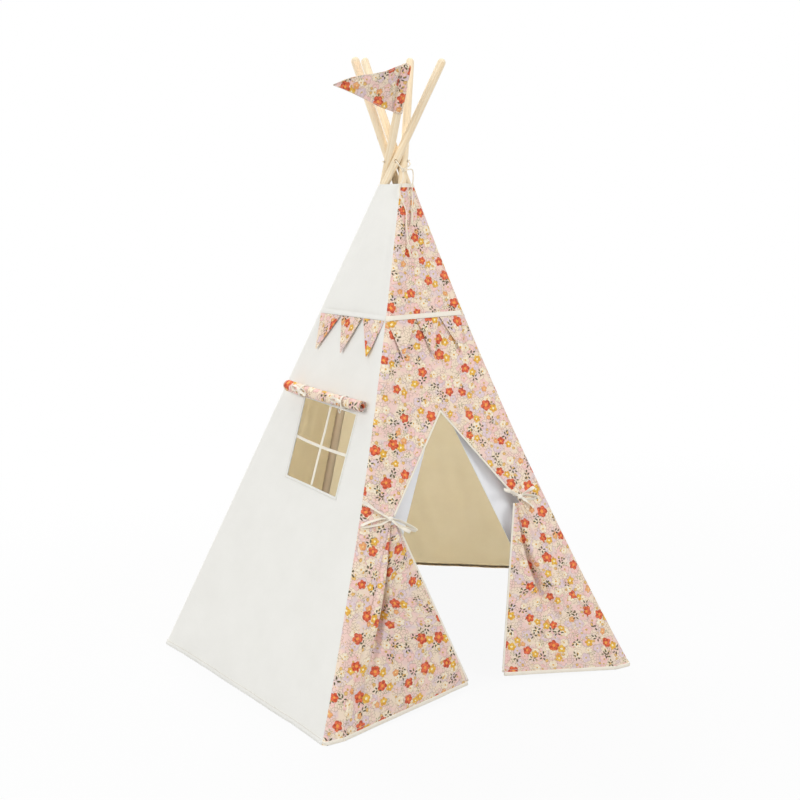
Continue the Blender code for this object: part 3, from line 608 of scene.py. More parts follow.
class Nodes:
    """A short way to write a node tree."""

    def __init__(self, tree: bpy.types.NodeTree) -> None:
        """Takes the tree that the nodes go in."""
        self.tree = tree

    def add(self, kind: str, inputs: Optional[dict] = None, **settings: object) -> bpy.types.Node:
        """Adds a node.

        Args:
            kind: The node's type name.
            inputs: Values or sockets by input name or number.
            settings: Properties of the node.

        Returns:
            The node.
        """
        node = self.tree.nodes.new(kind)
        for name, value in settings.items():
            setattr(node, name, value)
        for key, value in (inputs or {}).items():
            if isinstance(value, Socket):
                self.tree.links.new(value, node.inputs[key])
            else:
                node.inputs[key].default_value = value
        return node

    def math(self, operation: str, *values: object, clamp: bool = False) -> Socket:
        """One step of arithmetic."""
        return self.add("ShaderNodeMath", dict(enumerate(values)), operation=operation, use_clamp=clamp).outputs[0]

    def plus(self, one: object, two: object) -> Socket:
        """The sum."""
        return self.math("ADD", one, two)

    def less(self, one: object, two: object) -> Socket:
        """The difference."""
        return self.math("SUBTRACT", one, two)

    def times(self, one: object, two: object) -> Socket:
        """The product."""
        return self.math("MULTIPLY", one, two)

    def fitted(self, value: object, scale: object, shift: object, clamp: bool = False) -> Socket:
        """A value scaled and then shifted."""
        return self.math("MULTIPLY_ADD", value, scale, shift, clamp=clamp)

    def below(self, value: object, limit: object, pace: float) -> Socket:
        """A mask of where the value is under a limit, with an edge that grows at this pace."""
        return self.math("MULTIPLY", self.less(limit, value), pace, clamp=True)

    def ranged(self, value: object, low: float, high: float, first: float = 0.0, last: float = 1.0) -> Socket:
        """The value carried from one range to another, and held at its ends."""
        return self.add("ShaderNodeMapRange", {0: value, 1: low, 2: high, 3: first, 4: last}).outputs[0]

    def vector(self, operation: str, *values: object) -> Socket:
        """One step of vector arithmetic."""
        node = self.add("ShaderNodeVectorMath", dict(enumerate(values)), operation=operation)
        return node.outputs[1 if operation == "LENGTH" else 0]

    def scaled(self, vector: object, scale: object) -> Socket:
        """The vector times a number."""
        return self.add("ShaderNodeVectorMath", {0: vector, "Scale": scale}, operation="SCALE").outputs[0]

    def split(self, vector: object) -> bpy.types.NodeOutputs:
        """The three parts of a vector."""
        return self.add("ShaderNodeSeparateXYZ", {0: vector}).outputs

    def joined(self, x: object, y: object) -> Socket:
        """A vector from two parts."""
        return self.add("ShaderNodeCombineXYZ", {0: x, 1: y}).outputs[0]

    def chances(self, cells: bpy.types.NodeOutputs) -> bpy.types.NodeOutputs:
        """Three random values for each cell."""
        return self.add("ShaderNodeSeparateColor", {0: cells["Color"]}).outputs

    def cells(
        self, vector: object, scale: object, loose: float = 1.0, feature: str = "F1", kind: str = "2D"
    ) -> bpy.types.NodeOutputs:
        """The cells of a scattered pattern."""
        given = {"Vector": vector, "Scale": scale, "Randomness": loose}
        return self.add("ShaderNodeTexVoronoi", given, voronoi_dimensions=kind, feature=feature).outputs

    def mix(self, share: object, low: object, high: object) -> Socket:
        """A mix of two colours."""
        return self.add("ShaderNodeMix", {0: share, 6: low, 7: high}, data_type="RGBA").outputs[2]

    def noise(self, vector: object, scale: float, detail: float = 2.0, rough: float = 0.5) -> Socket:
        """A soft random value."""
        given = {"Vector": vector, "Scale": scale, "Detail": detail, "Roughness": rough}
        return self.add("ShaderNodeTexNoise", given).outputs[0]

    def stretched(self, vector: object, x: float, y: float, z: float = 1.0) -> Socket:
        """The vector scaled along each axis."""
        return self.add("ShaderNodeMapping", {"Vector": vector, "Scale": (x, y, z)}).outputs[0]

    def seen(self) -> Socket:
        """1 for a ray that comes straight from the camera or off a mirror."""
        rays = self.add("ShaderNodeLightPath").outputs
        return self.math("ADD", rays["Is Camera Ray"], rays["Is Glossy Ray"], clamp=True)

    def ended(self, values: Sequence[Socket]) -> bpy.types.NodeTree:
        """Ends a group with its outputs."""
        out = self.add("NodeGroupOutput")
        for socket, value in zip(out.inputs, values):
            self.tree.links.new(value, socket)
        return self.tree


class Shading(Nodes):
    """The tree of one material, round its shader."""

    def __init__(self, name: str, settings: dict[str, object]) -> None:
        """Makes the material.

        Args:
            name: The material's name.
            settings: The shader's plain values, by input name.
        """
        self.material = bpy.data.materials.new(name)
        self.material.use_nodes = True
        super().__init__(self.material.node_tree)
        self.shader = self.tree.nodes["Principled BSDF"]
        for key, value in settings.items():
            self.shader.inputs[key].default_value = value

    def cloth(self) -> Socket:
        """The cloth's own coordinates."""
        return self.add("ShaderNodeUVMap", uv_map=UV_NAME).outputs[0]

    def done(self, colour: Socket, height: Socket, strength: float, depth: float) -> Material:
        """Ends the material with its colour and its relief."""
        bump = self.add("ShaderNodeBump", {"Height": height, "Strength": strength, "Distance": depth})
        self.tree.links.new(colour, self.shader.inputs["Base Color"])
        self.tree.links.new(bump.outputs[0], self.shader.inputs["Normal"])
        return self.material

    def woven(self, uv: Socket, threads: float) -> Socket:
        """The height of a plain weave with uneven threads, on cloth that is a little crumpled.

        Args:
            uv: The cloth's coordinates.
            threads: Threads to the metre.

        Returns:
            The height.
        """
        parts, uneven = self.split(uv), self.noise(uv, 90.0, 3.0)
        waves = []
        for part, sway in ((parts[0], 6.0), (parts[1], 5.0)):
            waves.append(self.math("SINE", self.fitted(part, threads * math.tau, self.times(uneven, sway))))
        cross = self.fitted(self.times(*waves), 0.35, 0.5)
        slubs = self.plus(
            self.noise(self.stretched(uv, 1.0, 9.0), 160.0, 2.0), self.noise(self.stretched(uv, 9.0, 1.0), 160.0, 2.0)
        )
        return self.fitted(self.noise(uv, 34.0, 3.0, 0.55), 4.0, self.plus(cross, self.times(slubs, 0.5)))


@dataclass(frozen=True)
class Cotton:
    """A plain woven cotton in one dyed colour."""

    name: str
    colour: Colour
    shade: Colour
    sheer: float = 0.0

    def material(self) -> Material:
        """The finish, with its weave, slight unevenness of dye and a faint crumple."""
        nodes = Shading(self.name, {
            "Roughness": 0.88,
            "Sheen Weight": 0.12,
            "Sheen Roughness": 0.5,
            "Specular IOR Level": 0.25,
            "Subsurface Weight": self.sheer,
            "Subsurface Radius": (1.0, 0.9, 0.75),
            "Subsurface Scale": 0.012,
        })
        uv = nodes.cloth()
        cloudy = nodes.fitted(nodes.noise(uv, 9.0, 4.0, 0.6), 1.1, -0.45)
        share = nodes.fitted(nodes.noise(nodes.stretched(uv, 1.0, 5.0), 120.0, 3.0), 0.35, cloudy, clamp=True)
        return nodes.done(nodes.mix(share, self.colour, self.shade), nodes.woven(uv, 1100.0), 0.55, 0.00012)


@dataclass(frozen=True)
class Blossom:
    """One kind of printed flower. The shift sets where the flowers fall, and aside moves them all."""

    spacing: float
    size: float
    petals: float
    share: float
    colour: Colour
    edge: Colour
    heart: Colour
    shift: float
    depth: float = 0.24
    heart_size: float = 0.22
    outline: float = 0.62
    aside: tuple[float, float] = (0.0, 0.0)


@dataclass(frozen=True)
class Sprig:
    """One kind of printed leaf sprig."""

    spacing: float
    size: float
    share: float
    colour: Colour
    shift: float


class Scatter(Nodes):
    """A node group that draws one layer of scattered figures, each at a random turn in its own cell."""

    def __init__(self, name: str, sizes: Sequence[str], masks: Sequence[str], slope: float, loose: float) -> None:
        """Makes the group's sockets and its cells.

        Args:
            name: The group's name.
            sizes: Its inputs beside the vector.
            masks: Its outputs.
            slope: The direction in which the shift moves the pattern.
            loose: How unevenly the cells lie.
        """
        super().__init__(bpy.data.node_groups.new(name, "ShaderNodeTree"))
        face = self.tree.interface
        face.new_socket("Vector", in_out="INPUT", socket_type="NodeSocketVector")
        for way, names in (("INPUT", sizes), ("OUTPUT", masks)):
            for word in names:
                face.new_socket(word, in_out=way, socket_type="NodeSocketFloat")
        self.given = self.add("NodeGroupInput").outputs
        shift = self.joined(self.given["Shift"], self.times(self.given["Shift"], slope))
        self.spot = self.vector("ADD", self.given["Vector"], shift)
        cells = self.cells(self.spot, self.given["Scale"], loose)
        self.local = self.vector("SUBTRACT", self.spot, cells["Position"])
        self.chance = self.chances(cells)
        self.turn = self.times(self.chance[1], 6.28)
        self.there = self.math("LESS_THAN", self.chance[0], self.given["Share"])


def blossom_group() -> bpy.types.NodeTree:
    """The node group that draws one layer of scattered flowers.

    Returns:
        A group that gives the masks of the petals, the heart and the rim, and a value that grows from heart to rim.
    """
    sizes = ("Scale", "Shift", "Size", "Petals", "Share", "Depth", "Heart")
    nodes = Scatter("printed_blossom", sizes, ("Petal mask", "Heart mask", "Rim mask", "Reach"), 0.37, 0.8)
    given, chance, there = nodes.given, nodes.chance, nodes.there
    parts = nodes.split(nodes.local)
    far = nodes.vector("LENGTH", nodes.joined(parts[0], parts[1]))
    angle = nodes.plus(nodes.math("ARCTAN2", parts[1], parts[0]), nodes.turn)
    wave = nodes.math("ABSOLUTE", nodes.math("COSINE", nodes.times(angle, nodes.times(given["Petals"], 0.5))))
    ragged = nodes.fitted(nodes.noise(nodes.spot, 260.0, 1.0), 0.22, 0.89)
    lobes = nodes.times(nodes.fitted(nodes.less(wave, 1.0), given["Depth"], 1.0), ragged)
    grown = nodes.times(given["Size"], nodes.fitted(chance[2], 0.35, 0.75))
    edge = nodes.times(lobes, grown)
    inside = nodes.below(far, edge, 1800.0)
    heart = nodes.below(far, nodes.times(grown, given["Heart"]), 1800.0)
    off_edge = nodes.math("ABSOLUTE", nodes.less(edge, far))
    rim = nodes.math("SUBTRACT", 1.0, nodes.times(off_edge, 1150.0), clamp=True)
    rim = nodes.math("MAXIMUM", rim, nodes.times(nodes.below(wave, 0.16, 4.5), inside))
    masks = [nodes.times(mask, there) for mask in (inside, heart, rim)]
    return nodes.ended([*masks, nodes.math("DIVIDE", far, edge, clamp=True)])


def sprig_group() -> bpy.types.NodeTree:
    """The node group that draws small leaf sprigs: a pair of leaves and one at the tip."""
    nodes = Scatter("printed_sprig", ("Scale", "Shift", "Share", "Size"), ("Leaf mask",), 0.61, 0.85)
    sized = nodes.scaled(nodes.local, nodes.math("DIVIDE", 1.0, nodes.given["Size"]))
    turned = nodes.add("ShaderNodeVectorRotate", {"Vector": sized, "Angle": nodes.turn}, rotation_type="Z_AXIS")
    parts = nodes.split(turned.outputs[0])
    aside = nodes.less(nodes.math("ABSOLUTE", parts[1]), 0.50)
    folded = nodes.less(nodes.math("ABSOLUTE", nodes.less(parts[0], 0.1)), 0.62)
    one = nodes.plus(nodes.times(folded, 0.77), nodes.times(aside, 0.64))
    two = nodes.less(nodes.times(aside, 0.77), nodes.times(folded, 0.64))

    def leaf(length: object, width: object, long_size: float, wide_size: float) -> Socket:
        """The mask of one ellipse."""
        parts = []
        for value, size in ((length, long_size), (width, wide_size)):
            parts.append(nodes.math("POWER", nodes.math("DIVIDE", nodes.math("ABSOLUTE", value), size), 2.0))
        return nodes.below(nodes.plus(*parts), 1.0, 6.0)

    pair = leaf(one, two, 0.50, 0.25)
    tip = leaf(nodes.less(parts[0], 1.65), parts[1], 0.5, 0.26)
    return nodes.ended([nodes.times(nodes.math("MAXIMUM", pair, tip), nodes.there)])


@dataclass(frozen=True)
class Print:
    """A cotton with small flowers scattered on a pale ground."""

    name: str
    layers: tuple[object, ...]
    ground: Colour = srgb(243, 223, 200)
    ground_rose: Colour = srgb(242, 208, 198)
    ground_lilac: Colour = srgb(228, 208, 206)
    line: Colour = srgb(164, 138, 108)
    gold: Colour = srgb(214, 174, 74)
    faded: Colour = srgb(244, 236, 226)

    def material(self) -> Material:
        """The finish, with its layers of flowers and the weave below them."""
        nodes = Shading(
            self.name, {"Roughness": 0.86, "Sheen Weight": 0.08, "Sheen Roughness": 0.5, "Specular IOR Level": 0.25}
        )
        uv = nodes.cloth()
        waver = nodes.add("ShaderNodeTexNoise", {"Vector": uv, "Scale": 55.0, "Detail": 1.0}).outputs[1]
        spot = nodes.vector("ADD", uv, nodes.scaled(nodes.vector("SUBTRACT", waver, (0.5, 0.5, 0.5)), 0.006))
        colour = nodes.mix(nodes.ranged(nodes.noise(uv, 24.0, 2.0), 0.46, 0.58), self.ground, self.ground_rose)
        lilac = nodes.noise(nodes.vector("ADD", uv, (3, 7, 0)), 30.0, 2.0)
        colour = nodes.mix(nodes.ranged(lilac, 0.54, 0.66), colour, self.ground_lilac)
        doodle = nodes.below(nodes.cells(spot, 120.0, feature="DISTANCE_TO_EDGE")["Distance"], 0.085, 18.0)
        faint = nodes.times(doodle, nodes.math("GREATER_THAN", nodes.noise(uv, 40.0, 1.0), 0.46))
        colour = nodes.mix(nodes.times(faint, 0.75), colour, self.line)
        groups = {Blossom: blossom_group(), Sprig: sprig_group()}
        for kind in self.layers:
            sizes = {"Scale": 1 / kind.spacing, "Shift": kind.shift, "Share": kind.share}
            if isinstance(kind, Sprig):
                sizes.update(Vector=spot, Size=kind.size)
            else:
                moved = nodes.vector("SUBTRACT", spot, (*kind.aside, 0.0))
                sizes.update(Vector=moved, Size=kind.size / 2, Petals=kind.petals)
                sizes.update(Depth=kind.depth, Heart=kind.heart_size)
            masks = nodes.add("ShaderNodeGroup", sizes, node_tree=groups[type(kind)]).outputs
            if isinstance(kind, Sprig):
                colour = nodes.mix(masks[0], colour, kind.colour)
                continue
            tone = nodes.noise(nodes.vector("ADD", uv, (kind.shift, 0, 0)), 150.0, 2.0)
            reach = nodes.fitted(nodes.math("POWER", masks[3], 2.0), 0.5, nodes.fitted(tone, 5.0, -2.25), clamp=True)
            colour = nodes.mix(masks[0], colour, nodes.mix(reach, kind.colour, kind.edge))
            colour = nodes.mix(nodes.times(masks[2], kind.outline), colour, self.line)
            colour = nodes.mix(masks[1], colour, kind.heart)
        dots = nodes.cells(spot, 75.0)
        few = nodes.math("LESS_THAN", nodes.chances(dots)[0], 0.22)
        colour = nodes.mix(nodes.times(nodes.below(dots["Distance"], 0.13, 20.0), few), colour, self.gold)
        colour = nodes.mix(nodes.times(nodes.noise(uv, 7.0, 3.0), 0.08), colour, self.faded)
        return nodes.done(colour, nodes.woven(uv, 1300.0), 0.5, 0.00012)


@dataclass(frozen=True)
class Pine:
    """Pale sanded pine, whose grain runs along the stored coordinates of each pole."""

    name: str = "sanded_pine"
    light: Colour = srgb(250, 235, 207)
    dark: Colour = srgb(238, 212, 172)
    knot: Colour = srgb(176, 128, 80)
    heartwood: tuple[float, float] = (0.021, 0.008)
    rings: float = 2300.0

    def material(self) -> Material:
        """The finish: growth rings cut along the pole, fine streaks and a few small knots."""
        nodes = Shading(self.name, {})
        grain = nodes.add("ShaderNodeAttribute", attribute_name="grain").outputs["Vector"]
        drift = nodes.noise(nodes.stretched(grain, 1.0, 1.0, 0.10), 30.0, 2.0)
        parts = nodes.split(grain)
        across = nodes.joined(*(nodes.plus(part, shift) for part, shift in zip(parts, self.heartwood)))
        ring = nodes.fitted(nodes.vector("LENGTH", across), self.rings, nodes.times(drift, 13.0))
        late = nodes.math("POWER", nodes.fitted(nodes.math("SINE", ring), 0.5, 0.5), 2.2)
        streaks = nodes.noise(nodes.stretched(grain, 1.0, 1.0, 0.018), 1500.0, 3.0, 0.6)
        share = nodes.fitted(late, 0.62, nodes.fitted(streaks, 0.7, -0.25), clamp=True)
        colour = nodes.mix(share, self.light, self.dark)
        spots = nodes.cells(nodes.stretched(grain, 1.0, 1.0, 0.45), 19.0, kind="3D")
        rare = nodes.math("LESS_THAN", nodes.chances(spots)[0], 0.22)
        knots = nodes.times(nodes.below(spots["Distance"], 0.085, 22.0), nodes.times(rare, 0.75))
        nodes.tree.links.new(nodes.fitted(streaks, 0.22, 0.42), nodes.shader.inputs["Roughness"])
        return nodes.done(nodes.mix(knots, colour, self.knot), nodes.fitted(late, 0.5, streaks), 0.35, 0.0002)


@dataclass(frozen=True)
class Twill:
    """A narrow woven tape, with a fine rib across it."""

    name: str
    colour: Colour
    shade: Colour
    ribs: float = 900.0

    def material(self) -> Material:
        """The finish, ribbed and a little uneven."""
        nodes = Shading(self.name, {"Roughness": 0.82, "Sheen Weight": 0.15, "Sheen Roughness": 0.4})
        uv = nodes.cloth()
        parts = nodes.split(uv)
        slant = nodes.plus(parts[1], nodes.math("ABSOLUTE", parts[0]))
        rib = nodes.fitted(nodes.math("SINE", nodes.times(slant, self.ribs * math.tau)), 0.5, 0.5)
        cloudy = nodes.noise(uv, 60.0, 3.0)
        share = nodes.fitted(rib, 0.25, nodes.fitted(cloudy, 0.9, -0.3), clamp=True)
        return nodes.done(nodes.mix(share, self.colour, self.shade), nodes.fitted(cloudy, 2.0, rib), 0.5, 0.00015)


PRINTED = (
    Blossom(0.038, 0.029, 5, 0.55, srgb(234, 214, 216), srgb(220, 194, 200), srgb(214, 184, 112), 5.7),
    Blossom(0.035, 0.029, 5, 0.62, srgb(246, 210, 202), srgb(236, 190, 184), srgb(212, 172, 92), 2.1),
    Blossom(0.037, 0.026, 6, 0.62, srgb(250, 238, 216), srgb(240, 218, 186), srgb(224, 172, 72), 8.3),
    Sprig(0.045, 0.0060, 0.55, srgb(182, 174, 136), 4.4),
    Blossom(0.030, 0.0095, 5, 0.50, srgb(232, 188, 104), srgb(214, 160, 76), srgb(246, 226, 180), 11.9),
    Blossom(0.072, 0.019, 5, 0.60, srgb(242, 178, 118), srgb(228, 150, 88), srgb(246, 220, 150), 3.9),
    Sprig(0.057, 0.0086, 0.72, srgb(84, 76, 46), 6.9),
    Sprig(0.070, 0.0074, 0.50, srgb(102, 90, 54), 9.8),
    Blossom(0.096, 0.023, 5, 0.62, srgb(240, 196, 78), srgb(218, 152, 40), srgb(252, 240, 200), 14.2, 0.30, 0.26, 0.3),
    Blossom(
        0.073, 0.024, 5, 0.60, srgb(240, 194, 72), srgb(218, 152, 40), srgb(252, 240, 200), 17.6, 0.30, 0.26, 0.3,
        (0.0205, -0.0110),
    ),
    Blossom(0.073, 0.0305, 5, 0.92, srgb(238, 112, 66), srgb(186, 58, 30), srgb(245, 164, 72), 17.6, 0.26, 0.27, 0.12),
)


class Finishes:
    """Every finish of the tent, made once."""

    def __init__(self) -> None:
        """Builds the materials."""
        self.pine = Pine().material()
        self.white = Cotton("white_cotton_cloth", srgb(243, 242, 237), srgb(234, 233, 227)).material()
        # The lining's bluish white is its own colour. It is also painted brighter than that, as painted light standing
        # in for the light lost in the shade behind the panel.
        self.lining = Cotton("lining_cotton_cloth", srgb(249, 250, 252), srgb(243, 244, 248)).material()
        self.beige = Cotton("beige_cotton_cloth", srgb(229, 203, 171), srgb(219, 190, 155), sheer=0.9).material()
        # Painted light: the same beige cloth without its sheer, painted lighter for the back sleeve, which sits in the
        # tent's shade.
        self.beige_sleeve = Cotton("beige_sleeve_cloth", srgb(236, 212, 176), srgb(226, 199, 160)).material()
        self.print = Print("printed_cotton", PRINTED).material()
        self.tape = Twill("cream_cotton_tape", srgb(247, 241, 228), srgb(238, 229, 211)).material()
        self.cord = Twill("twisted_cotton_cord", srgb(250, 241, 223), srgb(238, 222, 194), 1400.0).material()
        self.thread = Twill("sewing_thread", srgb(226, 222, 212), srgb(208, 203, 192), 2500.0).material()


def wear(
    obj: Object,
    finish: Material,
    slot: Slot,
    body: str,
    node: Optional[str] = None,
    crumple: Optional["Crumple"] = None,
) -> None:
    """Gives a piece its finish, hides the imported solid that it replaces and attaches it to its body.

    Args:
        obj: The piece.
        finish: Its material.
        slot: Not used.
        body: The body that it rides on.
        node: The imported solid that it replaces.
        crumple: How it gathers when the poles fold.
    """
    obj.data.materials.clear()
    obj.data.materials.append(finish)
    if node:
        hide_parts(node)
    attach(obj, body)
    if crumple:
        crumple.on(obj)


# How the walls would gather towards the poles when the frame folds, worked out but not applied


@dataclass(frozen=True)
class Crumple:
    """How a wall's cloth gathers towards its own pole as the poles fold together."""

    joint: str
    axis: Vector
    anchor: Vector
    keep: float

    def on(self, obj: Object) -> None:
        """Gives the piece its own copy of its mesh; the gathering itself isn't set up here."""
        tuple(self.axis)
        tuple(self.anchor)
        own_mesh(obj)


def crumple_of(wall: Wall, own: Pole) -> Crumple:
    """The way this wall gathers: square to its own pole, in the wall's plane.

    Args:
        wall: The wall.
        own: The pole that it rides on.

    Returns:
        The joint, direction, fixed point and share that is left.
    """
    other = wall.second if own is wall.first else wall.first
    middle = SIZES.crossing_height / 2
    line = own.rise
    across = wall.normal(middle).cross(line).normalized()
    if across.dot(other.foot - own.foot) < 0:
        across = -across
    spread = math.acos(max(-1.0, min(1.0, own.rise.dot(other.rise))))
    keep = math.sin(FOLDED_TILT) / math.sin(math.acos(own.rise.z)) * math.cos(spread / 2)
    return Crumple(f"fold_{own.name}", across, own.at(middle), max(0.2, min(1.0, keep)))


# Sub-assemblies


@dataclass
class Poles:
    """The five dowels and the cloth tunnels that they stand in."""

    tent: Tent
    finishes: Finishes
    sides: int = 40
    ring_step: float = 0.03

    def build(self) -> None:
        """Builds each pole and its sleeve."""
        for pole in self.tent.poles.values():
            self.dowel(pole)
            self.sleeve(pole)

    def dowel(self, pole: Pole) -> None:
        """A dowel with a rounded top and a foot sawn level, drilled for the lace."""
        radius = SIZES.pole_diameter / 2
        straight = SIZES.pole_length - radius
        stations = [(distance, 1.0) for distance in steps(0.0, straight, int(straight / self.ring_step))]
        for n in range(1, 9):
            angle = n / 8.4 * math.pi / 2
            stations.append((straight + radius * math.sin(angle), math.cos(angle)))
        rings, flats = [], []
        for distance, width in stations:
            ring = hoop(pole.along(distance), pole.tangent, pole.aside, [radius * width] * self.sides)
            if distance == 0.0:
                ring = [spot - pole.rise * (spot.z / pole.rise.z) for spot in ring]
            rings.append(ring)
            flats.append([(k / self.sides * 0.07, distance) for k in range(self.sides + 1)])
        mesher = Mesher()
        mesher.rings(rings, flats)
        obj = mesher.object("dowel_" + pole.name)
        self.drill(obj, pole)
        self.mark_grain(obj, pole)
        obj.data.shade_smooth()
        obj.data.set_sharp_from_angle(angle=math.radians(50))
        wear(obj, self.finishes.pine, Slot.PINE, "leg_" + pole.name, "pole_" + pole.name)

    def drill(self, obj: Object, pole: Pole) -> None:
        """Cuts the lace's hole through the pole."""
        bm = bmesh.new()
        turn = pole.tangent.to_track_quat("Z", "Y").to_matrix().to_4x4()
        bmesh.ops.create_cone(
            bm,
            cap_ends=True,
            segments=32,
            radius1=SIZES.lace_hole / 2,
            radius2=SIZES.lace_hole / 2,
            depth=SIZES.pole_diameter * 2,
            matrix=Matrix.Translation(pole.waist) @ turn,
        )
        drill = linked_bm("drill", bm)
        cut = obj.modifiers.new("hole", "BOOLEAN")
        cut.operation, cut.object, cut.solver = "DIFFERENCE", drill, "EXACT"
        frozen(obj)
        bpy.data.objects.remove(drill, do_unlink=True)

    def mark_grain(self, obj: Object, pole: Pole) -> None:
        """Stores, at each point, where it lies across and along the pole."""
        shift = 0.37 * (1 + list(self.tent.poles).index(pole.name))
        layer = obj.data.attributes.new("grain", "FLOAT_VECTOR", "POINT")
        values = []
        for vertex in obj.data.vertices:
            distance = (vertex.co - pole.foot).dot(pole.rise)
            away = vertex.co - pole.along(distance)
            values.extend((away.dot(pole.tangent), away.dot(pole.aside), distance + shift))
        layer.data.foreach_set("vector", values)

    def sleeve(self, pole: Pole) -> None:
        """The inner half of the cloth tunnel, a little puckered along its seam."""
        route = [pole.along(distance) for distance in steps(0.012, SIZES.sleeve_top / pole.rise.z, 90)]
        sides, rings, flats = 28, [], []
        for outside in (True, False):
            for n, point in list(enumerate(route))[:: 1 if outside else -1]:
                sizes = [SIZES.sleeve_inner - 0.0002] * sides
                if outside:
                    sizes = [SIZES.sleeve_outer + pucker(2 * math.pi * k / sides, 2.0, n * 0.35) for k in range(sides)]
                rings.append(hoop(point, pole.tangent, pole.aside, sizes))
                flats.append([(k / sides * 0.08, n * 0.014) for k in range(sides + 1)])
        shell = Mesher()
        shell.rings(rings, flats, capped=False)
        for face in list(shell.bm.faces)[-sides:]:
            face.smooth = False
        obj = shell.object("tunnel_" + pole.name)
        finish, slot = self.finishes.white, Slot.WHITE
        if pole.name == "back":
            # The back sleeve takes the beige copy that is painted lighter to offset the shade inside the tent.
            finish, slot = self.finishes.beige_sleeve, Slot.BEIGE
        wear(obj, finish, slot, "leg_" + pole.name, "sleeve_" + pole.name)


class StitchLine:
    """Rows of small stitches along a line, made with a node tree."""

    def __init__(self, finish: Material) -> None:
        """Builds the tree, with inputs for the stitch's length, gap and thickness."""
        self.tree = bpy.data.node_groups.new("stitch_row", "GeometryNodeTree")
        face = self.tree.interface
        face.new_socket("Geometry", in_out="INPUT", socket_type="NodeSocketGeometry")
        for name, value in (("Pitch", 0.0040), ("Stitch length", 0.0028), ("Thread", 0.0005)):
            face.new_socket(name, in_out="INPUT", socket_type="NodeSocketFloat").default_value = value
        face.new_socket("Geometry", in_out="OUTPUT", socket_type="NodeSocketGeometry")
        nodes = Nodes(self.tree)
        given = nodes.add("NodeGroupInput").outputs
        curve = nodes.add("GeometryNodeMeshToCurve", {0: given[0]}).outputs[0]
        spaced = nodes.add("GeometryNodeResampleCurve", {"Curve": curve, "Length": given["Pitch"]}, mode="LENGTH")
        spots = nodes.add("GeometryNodeCurveToPoints", {"Curve": spaced.outputs[0]}, mode="EVALUATED").outputs
        sizes = {"Vertices": 6, "Side Segments": 1, "Radius": given["Thread"], "Depth": given["Stitch length"]}
        stitch = nodes.add("GeometryNodeMeshCylinder", sizes).outputs[0]
        placed = {"Points": spots[0], "Instance": stitch, "Rotation": spots["Rotation"]}
        rows = nodes.add("GeometryNodeInstanceOnPoints", placed)
        real = nodes.add("GeometryNodeRealizeInstances", {0: rows.outputs[0]})
        done = nodes.add("GeometryNodeSetMaterial", {"Geometry": real.outputs[0], "Material": finish})
        nodes.ended([done.outputs[0]])

    def sew(
        self, name: str, routes: Sequence[Route], body: str, crumple: Optional[Crumple] = None, pitch: float = 0.0040
    ) -> None:
        """Stitches along each route, as one plain mesh.

        Args:
            name: The piece's name.
            routes: The lines that are sewn.
            body: The body that the stitches ride on.
            crumple: How they gather when the poles fold.
            pitch: The distance from one stitch to the next.
        """
        mesh = bpy.data.meshes.new(name)
        points, edges = [], []
        for route in routes:
            start = len(points)
            points.extend(tuple(p) for p in route)
            edges.extend((start + n, start + n + 1) for n in range(len(route) - 1))
        mesh.from_pydata(points, edges, [])
        obj = linked(name, mesh)
        made = obj.modifiers.new("stitches", "NODES")
        made.node_group = self.tree
        for item in self.tree.interface.items_tree:
            if item.item_type == "SOCKET" and item.in_out == "INPUT" and item.name == "Pitch":
                made[item.identifier] = pitch
        frozen(obj)
        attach(obj, body)
        if crumple:
            crumple.on(obj)


def declare_sheet(obj: Object) -> None:
    """Works out a cloth piece's flat size from its own coordinates, and how much of it the cloth fills; the result
    isn't kept.

    Args:
        obj: The finished cloth.
    """
    uv = obj.data.uv_layers[UV_NAME].data
    spots = np.zeros(len(uv) * 2, np.float32)
    uv.foreach_get("uv", spots)
    spots = spots.reshape(-1, 2)
    width, length = (max(0.012, float(size)) for size in spots.max(0) - spots.min(0))
    share = cloth_area(obj) / (width * length)
    if share > 1.0:
        length *= share
        share = 1.0


def wall_stations(wall: Wall, height: float, flat_count: int) -> list[float]:
    """The runs of a wall's columns at one height: a few round each pole and the rest between them."""
    half = wall.width(height) / 2
    low, high = wall.reach(-1, height), wall.reach(1, height)
    return steps(low, -half, ARC_STEPS)[:-1] + steps(-half, half, flat_count) + steps(half, high, ARC_STEPS)[1:]


